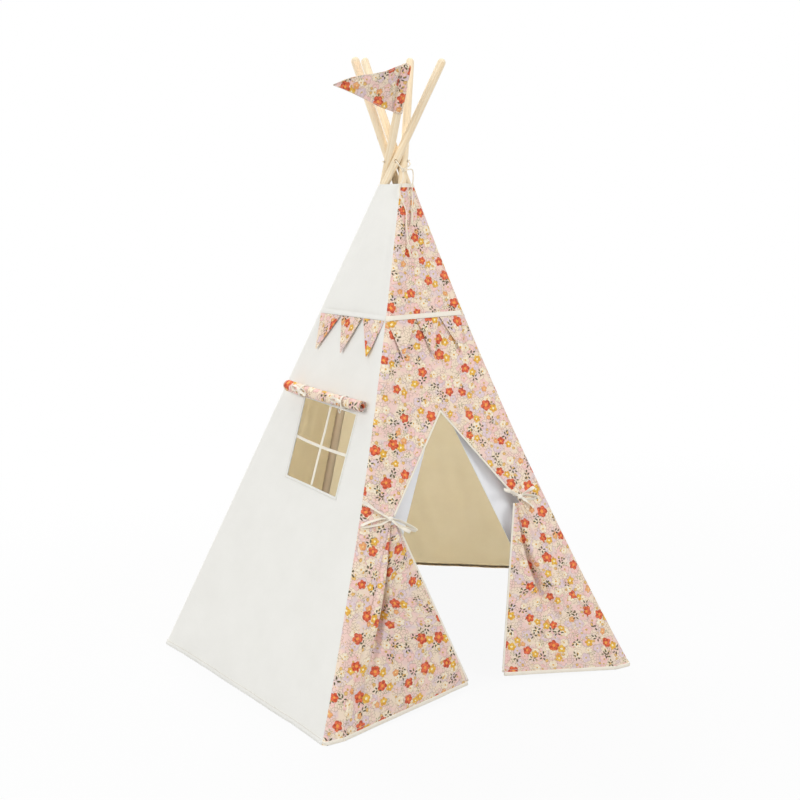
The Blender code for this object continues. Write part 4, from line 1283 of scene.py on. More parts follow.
@dataclass
class Walls:
    """The four plain walls with their floor hems."""

    tent: Tent
    finishes: Finishes
    stitches: StitchLine
    columns: int = 84
    rows: int = 110

    def build(self) -> dict[str, Crumple]:
        """Builds the walls and gives the way each one gathers."""
        crumples = {}
        for wall in self.tent.walls:
            own = self.tent.poles[wall.body.removeprefix("leg_")]
            crumples[wall.name] = crumple_of(wall, own)
        for wall in (self.tent.left, self.tent.right, self.tent.back_left, self.tent.back_right):
            self.wall(wall, crumples[wall.name])
            self.hem(wall, crumples[wall.name])
        return crumples

    def plain(self, wall: Wall) -> tuple[Material, Slot]:
        """A wall's cloth: beige at the back, and white elsewhere."""
        if wall.name.startswith("back"):
            return self.finishes.beige, Slot.BEIGE
        return self.finishes.white, Slot.WHITE

    def heights(self, low: float) -> list[float]:
        """The heights of the rows, closer together towards the top."""
        return [low + (SIZES.cloth_top - low) * (1 - (1 - v) ** 1.25) for v in steps(0, 1, self.rows)]

    def wall(self, wall: Wall, crumple: Crumple) -> None:
        """One plain wall."""
        low = 0.0035
        heights = self.heights(low)
        table = {height: wall_stations(wall, height, self.columns) for height in heights}
        count = len(table[heights[0]])
        slope = 1 / math.sqrt(max(1e-6, 1 - wall.normal(0.6).z ** 2))
        obj = sheet_on(
            "cloth_" + wall.name,
            range(count),
            heights,
            lambda i, height: wall.skin(table[height][i], height),
            lambda i, height: (table[height][i], height * slope),
        )
        if wall.name == "left":
            cut_window(obj, wall)
        thickened(obj, SIZES.cloth)
        wear(obj, *self.plain(wall), wall.body, "wall_" + wall.name, crumple)
        declare_sheet(obj)

    def hem(self, wall: Wall, crumple: Crumple) -> None:
        """The turned hem along the floor, with its row of stitches."""
        heights = (0.0009, 0.0022, 0.0075, SIZES.hem_height, 0.0125)
        outs = (0.0004, 0.0014, 0.0016, 0.0012, 0.0006)
        runs = wall_stations(wall, 0.006, 120)
        count = len(runs)
        low, high = runs[0], runs[-1]

        def place(i: float, j: float) -> Vector:
            """A point of the hem, which ripples a little."""
            height = heights[int(j)]
            share = (runs[int(i)] - low) / (high - low)
            run = wall.reach(-1, height) + (wall.reach(1, height) - wall.reach(-1, height)) * share
            ripple = 0.0004 * noise.noise(Vector((run * 70.0, wall.seed, 2.0)))
            return wall.skin(run, height, outs[int(j)] + ripple)

        name = "floor_hem_" + wall.name
        obj = sheet_on(name, range(count), range(5), place, lambda i, j: (runs[i], heights[j] * 1.1))
        thickened(obj, 0.0016)
        wear(obj, self.plain(wall)[0], Slot.TAPE, wall.body, "hem_" + wall.name, crumple)
        sewn = [wall.skin(run, 0.0122, 0.0022) for run in steps(low * 0.985, high * 0.985, 160)]
        self.stitches.sew("hem_stitches_" + wall.name, [sewn], wall.body, crumple)


# The window's place on the left wall


@dataclass(frozen=True)
class WindowPlan:
    """Where the window and the blind lie on the left wall. The cloth has pulled both a little askew."""

    width: float = 0.209
    sill: float = 0.520
    top: float = 0.722
    shift: float = 0.0235
    skew: float = math.radians(5.5)
    binding: float = 0.007
    bar: float = 0.008
    blind_length: float = 0.300
    blind_height: float = 0.7475
    blind_slope: float = math.radians(4.0)
    blind_radius: float = 0.0160
    blind_sag: float = 0.002
    ties: tuple[float, float] = (-0.079, 0.085)
    ribbon: float = 0.0072

    def corners(self) -> tuple[tuple[float, float], ...]:
        """The window's four corners, counted from its own middle line."""
        half = self.width / 2
        return ((-half, self.sill), (half, self.sill), (half, self.top), (-half, self.top))

    def spot(self, x: float, height: float) -> tuple[float, float]:
        """The run and height of a point counted from the window's own middle line and its level."""
        middle = (self.sill + self.top) / 2
        rise = height - middle
        straight, aside = math.cos(self.skew), math.sin(self.skew)
        return self.shift + x * straight - rise * aside, middle + rise * straight - x * aside


WINDOW = WindowPlan()


def cut_window(obj: Object, wall: Wall) -> None:
    """Cuts the window out of the left wall's open sheet, along its four sloping edges."""
    corners = [wall.at(*WINDOW.spot(x, z)) for x, z in WINDOW.corners()]
    normal = wall.normal((WINDOW.sill + WINDOW.top) / 2)
    bm = bmesh.new()
    bm.from_mesh(obj.data)
    planes = []
    for one, two in zip(corners, corners[1:] + corners[:1]):
        inwards = normal.cross(two - one).normalized()
        planes.append((one, inwards))
        whole = bm.verts[:] + bm.edges[:] + bm.faces[:]
        bmesh.ops.bisect_plane(bm, geom=whole, plane_co=one, plane_no=inwards, dist=1e-6)
    inside = []
    for face in bm.faces:
        middle = face.calc_center_median()
        if all((middle - spot).dot(inwards) > 0 for spot, inwards in planes):
            inside.append(face)
    bmesh.ops.delete(bm, geom=inside, context="FACES")
    bm.to_mesh(obj.data)
    bm.free()


# The printed front with its door


def ribbon_side(route: Route, facing: Vector) -> list[Vector]:
    """The direction across a band that lies flat on a face."""
    return [facing.cross(heading).normalized() for heading in headings(route)]


@dataclass
class DoorHalf:
    """The geometry of one half of the door: its slit edge, its fold line and the flap turned back on it."""

    front: Wall
    side: Side
    corner_reach: float
    overhang: float
    crease: tuple[tuple[float, ...], ...]
    folds: tuple[tuple[float, float, float], ...]

    def fold_reach(self, height: float) -> float:
        """How far from the middle the fold line lies at this height."""
        s = SIZES
        return s.fold_foot_reach + (s.tie_reach - s.fold_foot_reach) * height / s.tie_height

    def edge_reach(self, height: float) -> float:
        """How far from the middle the panel's own edge lies at this height."""
        s = SIZES
        if height >= s.apex_height:
            return 0.0
        if height >= s.tie_height:
            return s.tie_reach * (s.apex_height - height) / (s.apex_height - s.tie_height)
        return self.fold_reach(height)

    def on_panel(self, reach: float, height: float, out: float = 0.0) -> Vector:
        """The point of the flat front this far from the middle on this side."""
        return self.front.at(self.front.run_at_x(self.side.value * reach, height), height, out)

    def points(self) -> tuple[Vector, Vector, Vector]:
        """The tie, the fold's foot and the free corner."""
        s = SIZES
        level = s.hem_height + 0.0006
        tie = self.on_panel(self.fold_reach(s.tie_height), s.tie_height)
        corner = self.on_panel(self.corner_reach, level + s.corner_lift) + Vector((0, s.corner_setback, 0))
        return tie, self.on_panel(self.fold_reach(level), level), corner

    def flap_point(self, u: float, v: float) -> Vector:
        """A point of the flap.

        Args:
            u: 0 at the fold line and 1 at the free edge.
            v: 0 at the foot and 1 just below the tie.

        Returns:
            The point, with the deep crease below the tie, its overhanging bank and the softer folds beside it.
        """
        tie, foot, corner = self.points()
        height = v * SIZES.flap_top
        level = foot.z + (tie.z - foot.z) * height
        inner, outer = self.on_panel(self.fold_reach(level), level), corner.lerp(tie, height)
        length, run = (outer - inner).length, (outer - inner).normalized()
        facing = (corner - foot).cross(tie - foot).normalized()
        facing = facing if facing.y < 0 else -facing
        middle, depth, width = (float(np.interp(v, self.crease[0], row)) for row in self.crease[1:])
        t = (u - middle) * length / width
        kept = eased(u / 0.06) * eased((1 - u) / 0.10)
        valley, bank = math.exp(-abs(t) ** 3.4), math.exp(-(((t + 1.6) / 0.9) ** 2))
        lift = depth * kept * (0.20 * bank - valley) + 0.0017 * (1 - eased(u / 0.05))
        shift = depth * kept * self.overhang * math.exp(-((t + 1.0) ** 2))
        rim = kept * eased((1 - v) / 0.05 + 0.2)
        for middle, width, size in self.folds:
            bend = middle + 0.14 * v + 0.03 * math.sin(3.0 * v + 9.0 * middle)
            lift += size * rim * eased((v - 0.12) / 0.35) * math.exp(-(((u - bend) / width) ** 2))
        lift += 0.0010 * rim * eased((v - 0.62) / 0.25) * math.sin(u * 24.0 + 2.0 * v)
        lift += 0.0022 * noise.noise(Vector((u * 5.0, v * 2.2, 4.0 + self.side.value))) * rim
        return (inner - run * 0.0050).lerp(outer, u) + run * shift + facing * lift

    def flap_flats(self, us: Sequence[float], vs: Sequence[float]) -> dict[tuple[float, float], tuple[float, float]]:
        """The flap's places on the cut cloth, by the cloth's own length, so that the print runs on through a fold."""
        tie, foot, _ = self.points()
        flats = {}
        for v in vs:
            level = foot.z + (tie.z - foot.z) * v * SIZES.flap_top
            before, gone = None, 0.0
            for u in sorted(us):
                spot = self.flap_point(u, v)
                gone += (spot - before).length if before else 0.0
                flats[u, v] = (self.side.value * (self.fold_reach(level) - gone), level * SIZES.front_stretch)
                before = spot
        return flats


@dataclass
class Front:
    """The printed front: the panel, its door edges, the two flaps and the white curtains behind."""

    tent: Tent
    finishes: Finishes
    stitches: StitchLine
    crumple: Crumple
    right_crumple: Crumple
    columns: int = 46

    def __post_init__(self) -> None:
        """Makes the two halves of the door."""
        wall = self.tent.front
        left = (
            (0.10, 0.28, 0.40, 0.50, 0.60, 0.70, 0.80, 0.90, 1.00),
            (0.12, 0.160, 0.185, 0.200, 0.210, 0.215, 0.220, 0.220, 0.220),
            (0.0, 0.007, 0.018, 0.032, 0.042, 0.039, 0.027, 0.018, 0.007),
            (0.018, 0.015, 0.014, 0.013, 0.0130, 0.0100, 0.0060, 0.0044, 0.0028),
        )
        right = (
            (0.22, 0.35, 0.45, 0.55, 0.65, 0.80, 1.00),
            (0.43, 0.44, 0.46, 0.48, 0.53, 0.60, 0.60),
            (0.0, 0.008, 0.018, 0.024, 0.021, 0.010, 0.003),
            (0.020, 0.018, 0.015, 0.013, 0.010, 0.006, 0.003),
        )
        self.halves = (
            DoorHalf(wall, Side.LEFT, 0.014, 0.30, left, ((0.40, 0.06, -0.004), (0.62, 0.07, 0.003))),
            DoorHalf(wall, Side.RIGHT, 0.098, 0.20, right, ((0.10, 0.07, 0.003), (0.64, 0.06, -0.003))),
        )

    def build(self) -> None:
        """Builds the front."""
        self.panel()
        self.top_edge()
        for half in self.halves:
            self.slit_tape(half)
            self.flap(half)
            self.curtain(half)
            self.tie(half)

    def panel(self) -> None:
        """The panel in one piece, slit from the apex down and cut away below the ties."""
        wall, s = self.tent.front, SIZES
        heights = steps(0.0009, s.tie_height, 46)[:-1] + steps(s.tie_height, s.apex_height, 30)[:-1]
        heights += [s.apex_height + (s.cloth_top - s.apex_height) * (1 - (1 - v) ** 1.2) for v in steps(0, 1, 64)]
        half, count = self.halves[0], self.columns
        middle = ARC_STEPS + count
        width = 2 * middle + 2

        def run_at(index: int, height: float) -> float:
            """The run of a column: both halves count from the pole to the door's edge."""
            end = -1 if index <= middle else 1
            place = index if index <= middle else width - 1 - index
            seam, flat = abs(wall.reach(end, height)), wall.width(height) / 2
            edge = abs(wall.run_at_x(end * half.edge_reach(height), height)) if half.edge_reach(height) else 0.0
            if place < ARC_STEPS:
                return end * (seam + (flat - seam) * place / ARC_STEPS)
            return end * (flat + (edge - flat) * (place - ARC_STEPS) / count)

        table = {h: [run_at(i, h) for i in range(width)] for h in heights}

        def place(i: float, height: float) -> Vector:
            """A point of the panel, whose creases die away at the door's edge."""
            run = table[height][int(i)]
            gap = abs(abs(run) - half.edge_reach(height)) if height < s.apex_height + 0.03 else 1.0
            if s.apex_height <= height < s.apex_height + 0.03:
                gap = math.hypot(run, height - s.apex_height)
            return wall.at(run, height, wall.relief(run, height) * eased(gap / 0.07))

        obj = sheet_on("cloth_front", range(width), heights, place, lambda i, h: (table[h][i], h * s.front_stretch))
        bm = bmesh.new()
        bm.from_mesh(obj.data)
        bm.verts.ensure_lookup_table()
        cut = []
        for j in range(sum(h < s.apex_height - 1e-6 for h in heights)):
            edge = bm.edges.get((bm.verts[j * width + middle], bm.verts[j * width + middle + 1]))
            cut.extend(face for face in edge.link_faces if face not in cut)
        cut = [face for face in cut if face.calc_center_median().z < s.apex_height]
        bmesh.ops.delete(bm, geom=cut, context="FACES")
        bmesh.ops.remove_doubles(bm, verts=[v for v in bm.verts if v.co.z > s.apex_height - 1e-4], dist=2e-5)
        bmesh.ops.delete(bm, geom=[v for v in bm.verts if not v.link_faces], context="VERTS")
        bm.to_mesh(obj.data)
        bm.free()
        thickened(obj, s.cloth)
        wear(obj, self.finishes.print, Slot.PRINT, wall.body, "front_panel", self.crumple)
        declare_sheet(obj)

    def top_edge(self) -> None:
        """The cream tape that binds the panel's top."""
        wall, count = self.tent.front, 80
        low, high = SIZES.cloth_top - 0.009, SIZES.cloth_top + 0.0008
        base = wall.width((low + high) / 2)

        def place(i: float, v: float) -> Vector:
            """A point of the tape, which goes on round each pole to its seam."""
            height = low + (high - low) * v
            left, right = wall.reach(-1, height), wall.reach(1, height)
            return wall.skin(left + (right - left) * i / count, height, 0.0013 + 0.0002 * math.sin(math.pi * v))

        def flat(i: float, v: float) -> tuple[float, float]:
            """The tape's own coordinates."""
            return (v - 0.5) * 2, (i / count - 0.5) * base

        obj = thickened(sheet_on("front_top_tape", range(count + 1), steps(0, 1, 4), place, flat), 0.0014)
        wear(obj, self.finishes.tape, Slot.TAPE, wall.body, crumple=self.crumple)

    def slit_tape(self, half: DoorHalf) -> None:
        """The tape on the slit's edge between the apex and the tie."""
        s = SIZES
        slant = Vector((-half.side.value * (s.apex_height - s.tie_height), s.tie_reach)).normalized()
        route = []
        for n in range(41):
            share = 0.012 + n / 40 * 0.988
            reach, height = s.tie_reach * share, s.apex_height + (s.tie_height - s.apex_height) * share
            run = half.front.run_at_x(half.side.value * reach + slant.x * 0.0031, height - slant.y * 0.0031)
            wave = 0.0004 * noise.noise(Vector((n * 0.5, half.side.value, 0)))
            route.append(half.front.at(run, height - slant.y * 0.0031, wave))
        sides = ribbon_side(route, half.front.normal(0.6))
        obj = ribbon("slit_tape_" + half.side.word, route, sides, s.slit_tape, 0.0028)
        node = "slit_binding_" + half.side.word
        wear(obj, self.finishes.tape, Slot.TAPE, half.front.body, node, self.crumple)

    def flap(self, half: DoorHalf) -> None:
        """One flap with its edge tape and its hem."""
        word = half.side.word
        body = "flap_" + word
        crumple = self.crumple if half.side is Side.LEFT else self.right_crumple
        us, vs = steps(0, 1, 170), steps(0, 1, 110)
        flats = half.flap_flats(us, vs)
        if half.side is Side.RIGHT:
            us = us[::-1]
        obj = sheet_on("cloth_flap_" + word, us, vs, half.flap_point, lambda u, v: flats[u, v])
        thickened(obj, SIZES.cloth)
        wear(obj, self.finishes.print, Slot.PRINT, body, "door_flap_" + word, crumple)
        declare_sheet(obj)
        tie, foot, corner = half.points()
        along = (tie - corner).normalized()
        out = (corner - foot).normalized()
        out = (out - along * out.dot(along)).normalized()
        facing = half.front.normal(0.3)
        edge = [half.flap_point(1.0, v) + out * 0.0026 for v in steps(0, 1, 60)]
        tape = ribbon("flap_tape_" + word, edge, out, SIZES.flap_tape, SIZES.tape_thickness)
        wear(tape, self.finishes.tape, Slot.TAPE, body, "flap_binding_" + word, crumple)
        down = (foot - tie).normalized()
        run = (corner - foot).normalized()
        down = (down - run * down.dot(run)).normalized()
        hem = [half.flap_point(u, 0.0) + down * 0.0049 for u in steps(0.004, 1.0, 60)]
        turned = ribbon("flap_foot_" + word, hem, down, SIZES.flap_hem, 0.0032)
        wear(turned, self.finishes.tape, Slot.TAPE, body, "flap_hem_" + word, crumple)
        level = SIZES.hem_height * 0.55
        end = half.front.reach(half.side.value, level)
        start = half.front.run_at_x(half.side.value * (half.fold_reach(level) - 0.002), level)
        route = [half.front.at(start + (end - start) * share, level, 0.0004) for share in steps(0, 1, 30)]
        foot_tape = ribbon("panel_foot_" + word, route, down, SIZES.hem_height * 0.95, SIZES.tape_thickness)
        wear(foot_tape, self.finishes.tape, Slot.TAPE, half.front.body, crumple=self.crumple)
        sewn = [half.flap_point(u, 0.012) + facing * 0.0011 for u in steps(0.01, 0.985, 120)]
        self.stitches.sew("flap_stitches_" + word, [sewn], body, crumple)

    def curtain(self, half: DoorHalf) -> None:
        """The white curtain behind one half of the door, in soft hanging folds."""
        front, s = self.tent.front, SIZES
        word, sign = half.side.word, half.side.value
        pole = front.first if sign < 0 else front.second
        behind = s.sleeve_outer + 0.0006 + s.cloth / 2
        top = half.on_panel(s.lining_apex_reach, s.apex_height, -0.0020)
        foot = half.on_panel(s.lining_foot_reach, s.cloth) + Vector((0, s.lining_setback, 0))

        def place(u: float, v: float) -> Vector:
            """A point of the curtain, from the pole to its free edge."""
            free = foot.lerp(top, v)
            inwards = front.normal(free.z) * behind
            held = pole.at(free.z + inwards.z) - inwards
            fade = eased(u / 0.3) * eased((1 - v) / 0.25)
            wave = 0.5 + 0.5 * math.sin(u * 13.0 + 1.4 * math.sin(v * 3.0) + sign)
            soft = noise.noise(Vector((u * 3.0, v * 1.5, 7.0 + sign)))
            inside = -front.normal(free.z)
            return held.lerp(free, u) + inside * fade * (0.007 * wave + 0.004 * (soft + 0.5)) * (1.1 - v)

        us, vs = steps(0, 1, 60), steps(0, 1, 80)
        width = 0.13
        if sign > 0:
            us = us[::-1]
        obj = sheet_on("curtain_" + word, us, vs, place, lambda u, v: (sign * u * width * (1.2 - v), v * 0.78))
        thickened(obj, s.cloth)
        crumple = self.crumple if sign < 0 else self.right_crumple
        # The lining finish is painted brighter to stand in for the light lost in the shade behind the panel.
        wear(obj, self.finishes.lining, Slot.WHITE, "leg_" + pole.name, "door_lining_" + word, crumple)
        declare_sheet(obj)

    def tie(self, half: DoorHalf) -> None:
        """The ribbon bow that holds the flap back."""
        front, sign = self.tent.front, half.side.value
        s = SIZES
        facing = front.normal(s.tie_height)
        up = (UP - facing * UP.dot(facing)).normalized()
        outer = facing.cross(up)
        outer = outer if sign * outer.x > 0 else -outer
        lift = s.cloth / 2 + s.trim_gap + Bow.lift * 0.72
        centre = half.on_panel(s.tie_reach + Bow.knot * 0.7, s.tie_height - Bow.knot * 0.3, lift)
        if sign < 0:
            ends = (
                BowEnd(outer * 0.068 + up * 0.052, 0.001),
                BowEnd(outer * 0.080 - up * 0.006, 0.0065, True),
                BowEnd(outer * -0.066 - up * 0.040, 0.0055, True),
                BowEnd(outer * -0.046 - up * 0.042, -0.003),
            )
        else:
            ends = (
                BowEnd(outer * 0.048 + up * 0.020, 0.001),
                BowEnd(outer * 0.052 - up * 0.010, 0.0060, True),
                BowEnd(outer * 0.034 - up * 0.036, 0.003),
                BowEnd(outer * -0.046 + up * 0.026, -0.002),
            )
        obj = Bow("door_bow_" + half.side.word, centre, facing, up, ends).build()
        body = front.body if sign < 0 else "leg_" + front.second.name
        crumple = self.crumple if sign < 0 else self.right_crumple
        wear(obj, self.finishes.tape, Slot.TAPE, body, "door_tie_" + half.side.word, crumple)


@dataclass(frozen=True)
class BowEnd:
    """One strand or loop of a bow: its reach from the knot and its half height."""

    reach: Vector
    rise: float
    loop: bool = False


@dataclass
class Bow:
    """A knotted ribbon with its loops and ends."""

    name: str
    centre: Vector
    facing: Vector
    up: Vector
    ends: tuple[BowEnd, ...]
    knot: float = 0.0135
    lift: float = 0.0045
    width: float = 0.0094
    thickness: float = 0.0013

    def loop(self, end: BowEnd, side: Vector) -> list[Vector]:
        """A teardrop loop from the knot and back."""
        route = [self.centre + end.reach * 0.04 + side * end.rise * 0.15]
        for n in range(1, 25):
            angle = math.pi * n / 25
            stretch = 0.08 + 0.92 * math.sin(angle) ** 0.7
            route.append(self.centre + end.reach * stretch + side * end.rise * math.cos(angle))
        route.append(self.centre + end.reach * 0.04 - side * end.rise * 0.15)
        return smooth_route(route, 2)

    def strand(self, end: BowEnd, side: Vector) -> list[Vector]:
        """A loose end, which leaves the knot and waves a little."""
        route = []
        for step in steps(0, 1, 24):
            wave = 0.0016 * math.sin(step * 5.0 + end.rise * 900) * step
            lift = self.facing * (0.0012 + abs(wave))
            aside = side * end.rise * math.sin(step * math.pi)
            route.append(self.centre + end.reach * step + aside + lift + side * wave)
        return route

    def looped(self, share: float) -> float:
        """The width of a loop, which is pinched at the knot."""
        return self.width * (0.75 + 0.25 * math.sin(share * math.pi))

    def loose(self, share: float) -> float:
        """The width of a loose end, which is pinched at the knot."""
        return self.width * (0.62 + 0.38 * eased(share * 3))

    def build(self) -> Object:
        """Builds the bow as one mesh."""
        mesher = Mesher()
        for n, end in enumerate(self.ends):
            ahead = end.reach.normalized()
            side = self.facing.cross(ahead)
            if end.loop:
                tilt = (self.facing * 0.8 + side * 0.6).normalized()
                mesher.ribbon(self.loop(end, side), tilt, self.looped, self.thickness)
            else:
                twist = [Matrix.Rotation(0.9 * math.sin(step * 4.0 + n), 3, ahead) @ side for step in steps(0, 1, 24)]
                mesher.ribbon(self.strand(end, side), twist, self.loose, self.thickness)
        axes = (self.up.cross(self.facing), self.up, self.facing)
        mesher.lump(self.centre, axes, (self.knot, self.knot * 0.9, self.lift * 1.7))
        return mesher.object(self.name)


# The window and its blind


@dataclass
class WindowSet:
    """The window's edge tape and cross bars, and the rolled blind with its two ribbons."""

    tent: Tent
    finishes: Finishes
    stitches: StitchLine
    crumple: Crumple

    def build(self) -> None:
        """Builds the pieces above and in the window."""
        self.wall = self.tent.left
        self.edge()
        self.bars()
        self.blind()
        for word, along in zip(("left", "right"), WINDOW.ties):
            self.tie(word, along)

    def finish(self, obj: Object, finish: Material, slot: Slot, node: str) -> None:
        """Dresses a piece that rides on the left pole's leg."""
        wear(obj, finish, slot, self.wall.body, node, self.crumple)

    def edge(self) -> None:
        """The tape round the window, mitred at its corners, and its stitches."""
        half = WINDOW.width / 2
        wide = WINDOW.binding
        lift = SIZES.cloth / 2
        corners = WINDOW.corners()
        profile = (
            (0.0, -0.0002), (0.0, 0.0008), (0.0012, 0.0011), (wide - 0.0015, 0.0008), (wide, 0.0003), (wide, -0.0002),
        )
        rings, flats, sewn = [], [], []
        for n, (x, z) in enumerate(corners):
            x2, z2 = corners[(n + 1) % 4]
            for share in steps(0, 1, 30)[:-1]:
                px, pz = x + (x2 - x) * share, z + (z2 - z) * share
                ox = math.copysign(1.0, px) if abs(abs(px) - half) < 1e-9 else 0.0
                oz = 1.0 if abs(pz - WINDOW.top) < 1e-9 else -1.0 if abs(pz - WINDOW.sill) < 1e-9 else 0.0
                ring = []
                for reach, out in (*profile, (wide - 0.0016, 0.0012)):
                    ring.append(self.wall.skin(*WINDOW.spot(px + ox * reach, pz + oz * reach), lift + out))
                sewn.append(ring.pop())
                rings.append(ring)
                flats.append([(0.4 * k, n * 0.3 + share * 0.2) for k in range(len(profile) + 1)])
        mesher = Mesher()
        mesher.rings(rings, flats, capped=False)
        self.finish(mesher.object("window_edge"), self.finishes.white, Slot.TAPE, "window_binding")
        self.stitches.sew("window_stitches", [sewn + sewn[:1]], self.wall.body, self.crumple)

    def bars(self) -> None:
        """The two flat tapes that cross the window. The level one hangs slightly slack."""
        half = WINDOW.width / 2
        middle = (WINDOW.sill + WINDOW.top) / 2
        normal = self.wall.normal(middle)
        upright, level = [], []
        for share in steps(-1, 1, 40):
            height = middle + share * ((WINDOW.top - WINDOW.sill) / 2 - 0.0006)
            upright.append(self.wall.skin(*WINDOW.spot(0.0008 * math.sin(share * 3), height), -0.0006))
            slack = 0.0035 * (1 - share * share)
            level.append(self.wall.skin(*WINDOW.spot(share * (half - 0.0006), middle - slack), 0.0006))
        for name, route in (("bar_upright", upright), ("bar_level", level)):
            obj = ribbon(name, route, ribbon_side(route, normal), WINDOW.bar, 0.0009)
            self.finish(obj, self.finishes.tape, Slot.TAPE, "window_" + name)

    def axis(self, along: float) -> Vector:
        """The middle of the rolled blind."""
        share = along / (WINDOW.blind_length / 2)
        drop = WINDOW.blind_sag * (1 - share**2) + along * math.sin(WINDOW.blind_slope)
        out = SIZES.cloth / 2 + SIZES.trim_gap + WINDOW.blind_radius
        return self.wall.at(along, WINDOW.blind_height - drop, out)

    def frame_at(self, along: float) -> tuple[Vector, Vector, Vector]:
        """The roll's directions: across, out of the wall and up."""
        normal = self.wall.normal(WINDOW.blind_height)
        across = (self.axis(along + 0.01) - self.axis(along - 0.01)).normalized()
        upward = normal.cross(across)
        return across, normal, upward if upward.z > 0 else -upward

    def blind(self) -> None:
        """The printed cloth rolled up on itself, pinched a little where the ribbons hold it."""
        turns, cloth, gap = 3.6, 0.0011, 0.0016
        outer = WINDOW.blind_radius - cloth / 2
        length = WINDOW.blind_length
        _, normal, upward = self.frame_at(0.0)

        def place(u: float, v: float) -> Vector:
            """A point of the roll, from its outer edge inwards."""
            angle = u * turns * 2 * math.pi
            along = (v - 0.5) * length
            stagger = 0.0022 * math.sin(angle * 0.8) * (2 * v - 1)
            pinch = sum(math.exp(-(((along - spot) / 0.011) ** 2)) for spot in WINDOW.ties)
            soft = noise.noise(Vector((along * 16.0, angle * 0.6, 1.0)))
            soft += 0.4 * noise.noise(Vector((along * 50.0, angle * 1.3, 5.0)))
            radius = outer - (cloth + gap) * u * turns
            radius *= 1 + 0.085 * soft - 0.10 * pinch
            oval = 1 + 0.04 * math.sin(2 * angle + along * 12.0)
            centre = self.axis(along + stagger)
            return centre + (normal * -math.cos(angle) * (2 - oval) + upward * math.sin(angle) * oval) * radius

        us, vs = steps(0, 1, 150), steps(0, 1, 110)
        obj = sheet_on("blind_roll", us, vs, place, lambda u, v: ((v - 0.5) * length, 0.4 + u * 0.21))
        thickened(obj, cloth)
        self.finish(obj, self.finishes.print, Slot.PRINT, "rolled_blind")

    def tie(self, word: str, along: float) -> None:
        """A ribbon round the roll, tied in a small bow in front."""
        across, normal, upward = self.frame_at(along)
        centre = self.axis(along)
        radius = WINDOW.blind_radius + 0.0011
        lean = 0.35 if word == "left" else -0.25
        route = []
        for n in range(49):
            angle = 2 * math.pi * 0.76 * (n / 48 - 0.5)
            aside = across * lean * 0.010 * math.sin(angle)
            route.append(centre + (normal * math.cos(angle) + upward * math.sin(angle)) * radius + aside)
        if word == "left":
            ends = (
                BowEnd(across * 0.030 - upward * 0.002, 0.0060, True),
                BowEnd(across * -0.028 + upward * 0.004, 0.0060, True),
                BowEnd(across * 0.034 - upward * 0.012, 0.003),
            )
        else:
            ends = (
                BowEnd(across * 0.012 - upward * 0.027, 0.0055, True),
                BowEnd(across * -0.034 + upward * 0.001, 0.0050, True),
                BowEnd(across * -0.028 + upward * 0.010, 0.003),
            )
        face = centre + normal * (radius + 0.0027) - upward * 0.002
        obj = Bow(f"blind_bow_{word}", face, normal, upward, ends, knot=0.0115, width=WINDOW.ribbon).build()
        join_into(obj, ribbon("ring", route, across, WINDOW.ribbon, 0.0012))
        self.finish(obj, self.finishes.tape, Slot.TAPE, "blind_tie_" + word)


# Bunting and flag


@dataclass
class Bunting:
    """A row of printed pennants under a cream band on one wall."""

    wall: Wall
    word: str
    finishes: Finishes
    crumple: Crumple
    count: int = 3
    height: float = 0.957
    band: float = 0.012
    drop: float = 0.092
    cloth: float = 0.0011

    def spot(self, share: float, height: float, out: float, along: float = 0.0) -> Vector:
        """A point of the bunting, which hangs a little higher at the left wall's outer end."""
        share += along / self.wall.width(height)
        rise = 0.009 * (1 - share) if self.word == "left" else 0.0
        run = (share - 0.5) * self.wall.width(height + rise)
        return self.wall.at(run, height + rise, SIZES.cloth / 2 + SIZES.trim_gap + self.cloth / 2 + out)

    def build(self) -> None:
        """Builds the band and its pennants."""
        low = self.height - self.band
        plain = self.word != "front"
        thin = 0.0006 if plain else self.cloth

        def place(u: float, v: float) -> Vector:
            """A point of the band, which goes round the front left pole on the front."""
            height = low + self.band * v
            out = 0.0003 * math.sin(math.pi * v) - (0.0006 if plain else 0.0)
            start = 0.0 if plain else -self.wall.arc(-1, height) / self.wall.width(height)
            return self.spot(start + (1 - start) * u, height, out)

        us, vs = steps(0, 1, 70), steps(0, 1, 6)
        obj = sheet_on("bunting_tape_" + self.word, us, vs, place, lambda u, v: (v * 2 - 1, u * 0.24))
        thickened(obj, thin)
        finish = self.finishes.white if plain else self.finishes.tape
        wear(obj, finish, Slot.TAPE, self.wall.body, "bunting_band_" + self.word, self.crumple)
        top = low - 0.0009
        each = self.wall.width(top) / self.count
        for n in range(self.count):
            self.pennant(n, top, each)

    def pennant(self, n: int, top: float, each: float) -> None:
        """One pennant, whose point curls slightly off the wall."""
        share = (n + 0.5) / self.count
        shift = 0.31 * n + {"left": 0.0, "front": 1.3, "right": 2.9}[self.word]
        curl = (0.0018, 0.0012, 0.0022)[n]

        def place(u: float, v: float) -> Vector:
            """A point of the pennant, from its tip up."""
            half = 0.0015 + (each / 2 - 0.002 - 0.0015) * v
            if self.word == "front" and n == 0 and u < 0.5:
                half += self.wall.arc(-1, top) * v
            out = curl * (1 - v) ** 1.5 + 0.0006 * math.sin(u * 6 + v * 4 + n) * (1 - v)
            out += 0.0008 * (2 * u - 1) ** 2 * (1 - v)
            return self.spot(share, top - self.drop * (1 - v), out, (u - 0.5) * 2 * half)

        def flat(u: float, v: float) -> tuple[float, float]:
            """The pennant's own coordinates. The shift gives each one another part of the print."""
            return shift + (u - 0.5) * each * v, v * self.drop + shift

        name = f"{self.word}_{n + 1}"
        us, vs = steps(0, 1, 18), steps(0, 1, 26)
        obj = sheet_on("cloth_pennant_" + name, us, vs, place, flat)
        thickened(obj, self.cloth)
        wear(obj, self.finishes.print, Slot.PRINT, "pennant_" + name, "pennant_" + name, self.crumple)


